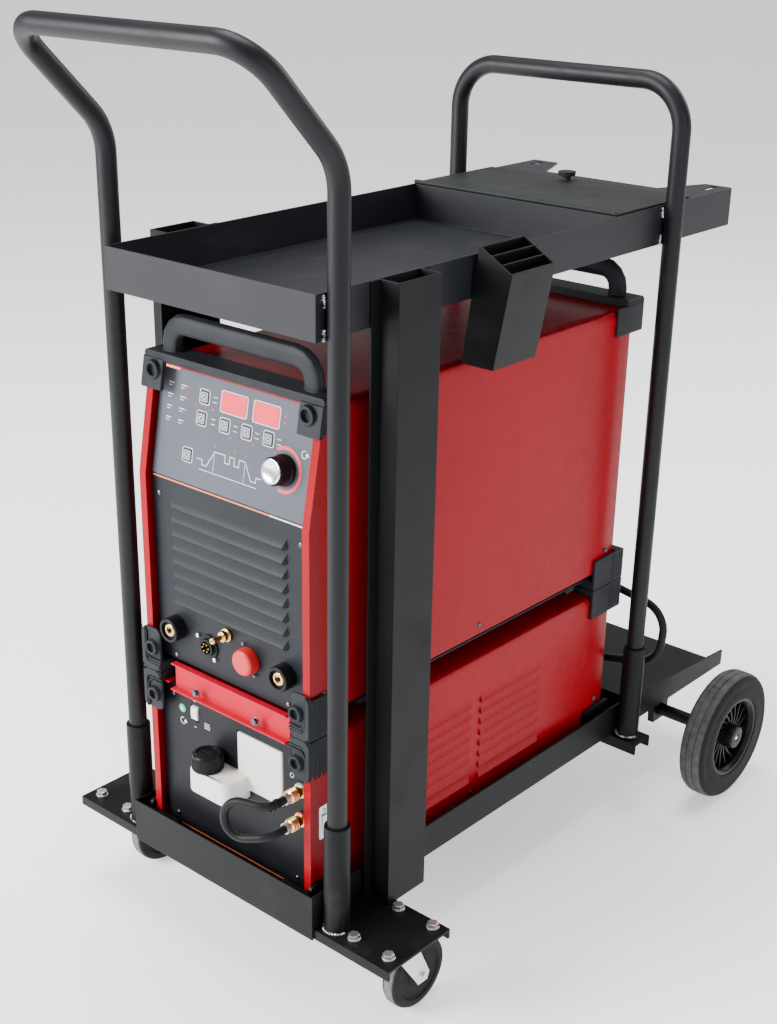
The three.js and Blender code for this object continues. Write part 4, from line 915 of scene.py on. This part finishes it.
def moulding_ribs():
    """Ribs on the outer sides of the corner mouldings, and round the rear mouldings' corners."""
    sunk, corner_pitch, rear_pitch = 0.0007, 0.0075, 0.0058
    ribs = []
    for node in CORNER_BUMPERS:
        low, high = corners_of(node)
        x = high.x - sunk if node.endswith("right") else low.x + sunk
        ribs += [rib(x, low.y + 0.016 + corner_pitch * k, low, high) for k in range(5)]
    for node in REAR_BUMPERS:
        low, high = corners_of(node)
        for x in (low.x + sunk, high.x - sunk):
            ribs += [rib(x, high.y - 0.005 - rear_pitch * k, low, high) for k in range(5)]
        for k in range(5):
            for sign in (-1, 1):
                ribs.append(rib(sign * (high.x - 0.006 - rear_pitch * k), high.y - sunk, low, high))
    hand_over(joined("moulding_ribs", ribs), MOULDING, "set")


def rail_edge():
    """The rounded edge of the rail under the front carry handle."""
    corners = [(-142.5, 36.6, 774), (-142.5, 41.4, 800), (142.5, 41.4, 800), (142.5, 36.6, 774)]
    run = bent_run([at(*corner) for corner in corners], [14, 14], 8)
    hand_over(wire("rail_edge", run, 8.5, 6), MOULDING, "set")


def bumper_ridges():
    """Two ridges in each corner moulding's face: one runs down beside the screw boss and turns in under
    it, and one lies straight beyond that. The cooler's mouldings have them the other way up."""
    beside, under, bend, inner_end = 12.8, 18.0, 9.0, -13.5
    around = [(beside, -20.0)] + ring_of(beside - bend, under - bend, bend, 6, 0, 90) + [(inner_end, under)]
    beyond = [(8.4, 22.4), (inner_end, 22.4)]
    ridges = []
    for node in CORNER_BUMPERS:
        low, high = corners_of(node)
        side = 1 if node.endswith("right") else -1
        turn, boss_z = (-1, low.z * 1000 + 33.6) if node.startswith("welder") else (1, high.z * 1000 - 33.6)
        for path in (around, beyond):
            outline = ribbon([(side * (BOSS_X + x), boss_z + turn * z) for x, z in path], 1.9)
            ridges.append(flat("ridge", [outline], (0, low.y + 0.0071, 0), FRONT, 2.4, width=0.0006))
    hand_over(joined("bumper_ridges", ridges), MOULDING, "set")


# ---- rear fittings ------------------------------------------------------------------------------
def fan_guard_rings():
    rings = []
    for radius in (14, 24, 34, 44, 54, 62):
        points = [at(x, REAR_SHEET_Y + 1.4, z) for x, z in ring_of(0, FAN_Z, radius, 48)]
        rings.append(wire("guard_ring", points, 2.2, 3, True))
    hand_over(joined("fan_guard_rings", rings), FRAME_BLACK, "set")


def lead_glands():
    relief = [(6.3, 0), (11, 0), (11, 5), (10, 6.4), (8.6, 7), (8.2, 10), (7.2, 16), (6.3, 16)]
    glands = [turned("gland", relief, at(x, REAR_SHEET_Y + 0.2, z), -FRONT, 36, True, 0.0003)
              for x, z in (LEAD_TOP, LEAD_FOOT)]
    hand_over(joined("lead_glands", glands), BLACK_PLASTIC, "set")


def rear_screws():
    edges = [(x, z) for x in (-120, 120) for z in (470, 610, 750, 190, 330)]
    guard = [(x, z) for x in (-52, 52) for z in (FAN_Z - 52, FAN_Z + 52)]
    screws = [domed_screw("screw", at(x, REAR_SHEET_Y, z), -FRONT, 3.4) for x, z in edges]
    screws += [domed_screw("screw", at(x, REAR_SHEET_Y, z), -FRONT, 3.0) for x, z in guard]
    hand_over(joined("rear_screws", screws), ZINC, "set")


def blank_plate():
    plate = flat("blank_plate", [rounded(-35, 35, -18, 18, 3)], at(-60, REAR_SHEET_Y, 700), -FRONT, 0.5)
    hand_over(plate, ALUMINIUM, "set")


# ---- welder's front fittings --------------------------------------------------------------------
def grip_ribs(place, direction, count, out, middle, radius, length):
    """Thin ribs set evenly round a knob, all sizes in millimetres."""
    bpy.ops.object.select_all(action="DESELECT")
    bpy.ops.mesh.primitive_cylinder_add(vertices=8, radius=radius / 1000, depth=length / 1000,
                                        location=(out / 1000, 0, middle / 1000))
    first = settle(bpy.context.object)
    first.matrix_world = aimed(place, direction)
    return copied_round(settle(first), place, direction, count)


def dial():
    place = on_lean(*DIAL)
    skirt = [(19, 0.7), (19, 4), (17.6, 5.4), (16.6, 7), (16.2, 20), (15.2, 21.4), (13, 22), (0.8, 22)]
    body = turned("dial_body", skirt, place, LEANING, 72, width=0.0003)
    knob = joined("encoder_knob_fine", [body] + grip_ribs(place, LEANING, 40, 16.3, 13.8, 0.55, 12.8))
    hand_over(knob, BLACK_PLASTIC, "knob", "encoder_knob")
    dish = [(14.6, 0), (15, 0.4), (14.4, 1.3), (13, 1.7), (11.5, 1.2), (1, 0.9)]
    top = turned("dial_top", dish, place + LEANING * 0.0219, LEANING, 72)
    hand_over(top, CHROME, "knob")


def socket_inserts():
    """The brass of both current sockets: a collar in front, a sleeve behind and the stop for the plug."""
    collar = [(5.1, 0), (8.6, 0), (8.6, 2.4), (7.6, 3), (5.1, 3)]
    sleeve = [(3.9, 0), (4.9, 0), (4.9, 22), (3.9, 22)]
    stop = rounded(-1.4, 1.4, 3.4, 8, 0.8)
    inserts = []
    for x in (-SOCKET_X, SOCKET_X):
        inserts.append(turned("insert", collar, at(x, 13.2, SOCKET_Z), FRONT, 48, True, 0.0002))
        inserts.append(turned("sleeve", sleeve, at(x, 36, SOCKET_Z), FRONT, 36, True))
        inserts.append(flat("key_stop", [stop], at(x, 13, SOCKET_Z), FRONT, 3.2))
    hand_over(joined("socket_inserts", inserts), BRASS, "set")


def remote_connector():
    screws = [domed_screw("screw", at(x, 23.2, z), FRONT, 3.1) for x, z in ((-58, 455), (-28, 430))]
    hand_over(joined("remote_screws", screws), ZINC, "set")
    pins = [turned("pin", [(1.1, 0), (1.1, 6), (0.7, 7)], at(x, 25, z), FRONT, 14)
            for x, z in ring_of(REMOTE_X, REMOTE_Z, 5.4, 6)]
    hand_over(joined("remote_pins", pins), BRASS, "set")


def dark_screws():
    """The panel's own screws, two beside the capped socket, the strap's and the upper bosses'."""
    screws = [domed_screw("screw", at(x, PANEL_Y, z), FRONT, 3.6)
              for x, z in ((-122, 630), (122, 630), (-102, 411), (99, 413))]
    screws += [domed_screw("screw", at(x, PANEL_Y - 2.5, z), FRONT, 2.6) for x, z in ((24, 470), (43, 433))]
    hand_over(joined("panel_screws", screws), DARK_STEEL, "set")
    strap = [hexagon("strap_screw", at(x, 14, 378), FRONT, 8, 3.2, 12) for x in (-54, 54)]
    hand_over(joined("strap_screws", strap), DARK_STEEL, "set")
    bosses = [socket_screw("boss_screw", at(x, lean(790) - 12.6, 790), FRONT, 4.4, 2)
              for x in (-BOSS_X, BOSS_X)]
    hand_over(joined("boss_screws", bosses), DARK_STEEL, "set")


# ---- cooler -------------------------------------------------------------------------------------
def tank_cap():
    place = at(-26, 4, 283.3)
    shell = [(15.7, 0), (20, 0), (20.3, 0.8), (20.3, 19), (19, 21.4), (17.4, 22.6), (14.6, 22.6),
             (14.2, 20.4), (1, 20.4)]
    body = turned("cap_body", shell, place, UP, 72, width=0.0003)
    grip = rounded(-13.2, 13.2, -2, 2, 1.9)
    wing = flat("cap_wing", [grip], place + UP * 0.0203, UP, 2.2, (0, 1, 0), 0.0006)
    cap = joined("tank_cap_fine", [body, wing] + grip_ribs(place, UP, 36, 20.3, 9.8, 0.7, 16.5))
    hand_over(cap, BLACK_PLASTIC, "cap", "tank_cap")


def couplings():
    """Two brass quick couplings, each with a knurled sleeve, a coloured ring and a hose clip."""
    shell = [(6, 0.4), (9.4, 0.4), (9.4, 5), (7.2, 5.2), (7.2, 12), (8.7, 12.4), (8.7, 23), (7.2, 23.6),
             (6.2, 24.4), (6, 31.6), (2.7, 31.6), (2.7, 20), (2.7, 0.4)]
    ridge = [(8.4, 0), (9.1, 0.5), (9.1, 1.3), (8.4, 1.8)]
    ring = [(9.3, 0), (10.1, 0), (10.1, 2.2), (9.3, 2.2)]
    clip = [(6.5, 0), (7.2, 0), (7.2, 5), (6.5, 5)]
    for node, z, tint in (("coupling_return", RETURN_Z, PRINT_BLUE),
                          ("coupling_supply", SUPPLY_Z, PRINT_RED)):
        place = at(COUPLING_X, PANEL_Y, z)
        parts = [turned("coupling", shell, place, FRONT, 40, True, 0.0003)]
        for k in range(4):
            parts.append(turned("ridge", ridge, place + FRONT * (0.0128 + 0.0026 * k), FRONT, 24, True))
        hand_over(joined(node + "_fine", parts), BRASS, "set", node)
        band = turned(node + "_band", ring, place + FRONT * 0.0016, FRONT, 48, True, 0.0002)
        hand_over(band, tint, "set")
        collar = turned(node + "_clip", clip, place + FRONT * 0.0262, FRONT, 32, True)
        hand_over(collar, ZINC, "set")


def cooler_marks():
    """The pump's green disc, white symbols round the rocker and the couplings, and an orange line."""
    face = at(0, PANEL_Y, 0)
    disc = flat("pump_disc", [ring_of(-96, 335, 6, 40)], face, FRONT, 0.2)
    hand_over(disc, PRINT_GREEN, "set")
    drop = [(0, 4), (2.6, -0.4), (2.4, -2.2), (0.9, -3.6), (-0.9, -3.6), (-2.4, -2.2), (-2.6, -0.4)]
    marks = [[(-96 + x * 0.8, 335 + z * 0.8) for x, z in drop]]
    marks += [arc_band(-95, 317, 4.6, 0.9, 70, 270, 24), [(-90.2, 320.6), (-87, 315.8), (-93.4, 316.4)]]
    marks += [bar(-54, 325 + 3.4 * k, -43 - abs(k), 325 + 3.4 * k, 1.1) for k in range(-1, 2)]
    marks += [arc_band(-71.5, 357, 3, 0.8, 120, 300, 18), bar(-73.5, 316, -69.5, 316, 0.9)]
    marks += [ring_of(104, 316, 3.4, 24), ring_of(104, 316, 2.6, 24), bar(100, 246, 108, 246, 0.9)]
    piece = flat("cooler_marks", marks, face + FRONT * 0.0002, FRONT, 0.16)
    hand_over(piece, PRINT_WHITE, "set")
    line = flat("cooler_line", [bar(-107, 154, 88, 154, 2.2)], face, FRONT, 0.2)
    hand_over(line, PRINT_ORANGE, "set")


def cover_screws():
    """Screws of the cooler's front sheet and of both covers' sides."""
    screws = [domed_screw("screw", at(x, PANEL_Y, z), FRONT, 3.4)
              for x, z in ((-112, 352), (-112, 168), (112, 168))]
    screws += [domed_screw("side_screw", at(sign * SIDE_X, y, z), (sign, 0, 0), 3.8) for sign in (-1, 1)
               for y, z in ((336, 166), (635, 195), (635, 440), (40, 440), (340, 425))]
    hand_over(joined("cooler_screws", screws), DARK_STEEL, "set")


def side_latches():
    """On each side a plate with two rivets and a raised bow."""
    plate, bow = rounded(-9, 9, -24, 24, 3), rounded(-4.5, 4.5, -11, 11, 2)
    parts = []
    for sign in (-1, 1):
        outward = Vector((sign, 0, 0))
        under = at(sign * SIDE_X, LATCH_Y, LATCH_Z)
        top = under + outward * 0.0014
        parts.append(flat("latch_plate", [plate], under, outward, 1.4, width=0.0004))
        parts += [domed_screw("rivet", top + UP * rise, outward, 2.6) for rise in (-0.017, 0.017)]
        parts.append(flat("latch_bow", [bow], top, outward, 2.6, width=0.0006))
    hand_over(joined("side_latches", parts), ZINC, "set")


def hose_ties():
    tie = [(6.1, 0), (7, 0), (7, 2.2), (6.1, 2.2)]
    ties = [turned("tie", tie, at(COUPLING_X, y, RETURN_Z), FRONT, 28, True) for y in (-17, -27)]
    hand_over(joined("hose_ties", ties), BLACK_PLASTIC, "set")


def handle_label():
    """The orange mark on the welder's front rail."""
    label = flat("handle_label", [rounded(-93, -68, -1.6, 1.6, 1)], at(0, 21.5, 801), FRONT, 0.3)
    hand_over(label, PRINT_ORANGE, "set")


# ---- floor and light ----------------------------------------------------------------------------
def floor():
    bpy.ops.object.select_all(action="DESELECT")
    bpy.ops.mesh.primitive_plane_add(size=160, location=(0, 0, -0.0005))
    sheet = bpy.context.object
    sheet.name = "floor"
    sheet.data.materials.append(plain("floor_white", (0.95, 0.95, 0.95), 0.95, 0.01,
                                      Emission_Color=(1, 1, 1, 1), Emission_Strength=0.65))


def lights():
    world = bpy.data.worlds.new("studio")
    bpy.context.scene.world = world
    world.use_nodes = True
    background = world.node_tree.nodes["Background"]
    background.inputs["Color"].default_value = (1, 1, 1, 1)
    background.inputs["Strength"].default_value = 0.5
    target = Vector((0, 0, 0.55))
    for name, place, power, size, colour in (
            ("key", (-2.0, -3.6, 2.0), 420, 2.2, (1, 1, 1)),
            ("side", (3.4, -0.6, 1.6), 25, 1.6, (0.96, 0.98, 1)),
            ("top", (-0.3, 0.0, 3.8), 140, 2.0, (1, 1, 1)),
            ("back", (0.6, 3.4, 2.4), 60, 2.2, (1, 1, 1))):
        data = bpy.data.lights.new(name, "AREA")
        data.energy, data.size, data.color = power, size, colour
        lamp = bpy.data.objects.new(name, data)
        bpy.context.scene.collection.objects.link(lamp)
        turn = (target - Vector(place)).to_track_quat("-Z", "Y").to_matrix().to_4x4()
        lamp.matrix_world = Matrix.Translation(place) @ turn


sheet_parts()
handles()
rear_wheels()
caster_wheels()
caster_bolts()
welds()
machine_shells()
control_face()
front_louvres()
side_louvres()
moulding_ribs()
rail_edge()
bumper_ridges()
fan_guard_rings()
lead_glands()
rear_screws()
blank_plate()
dial()
socket_inserts()
remote_connector()
dark_screws()
tank_cap()
couplings()
cooler_marks()
cover_screws()
side_latches()
hose_ties()
handle_label()
floor()
lights()
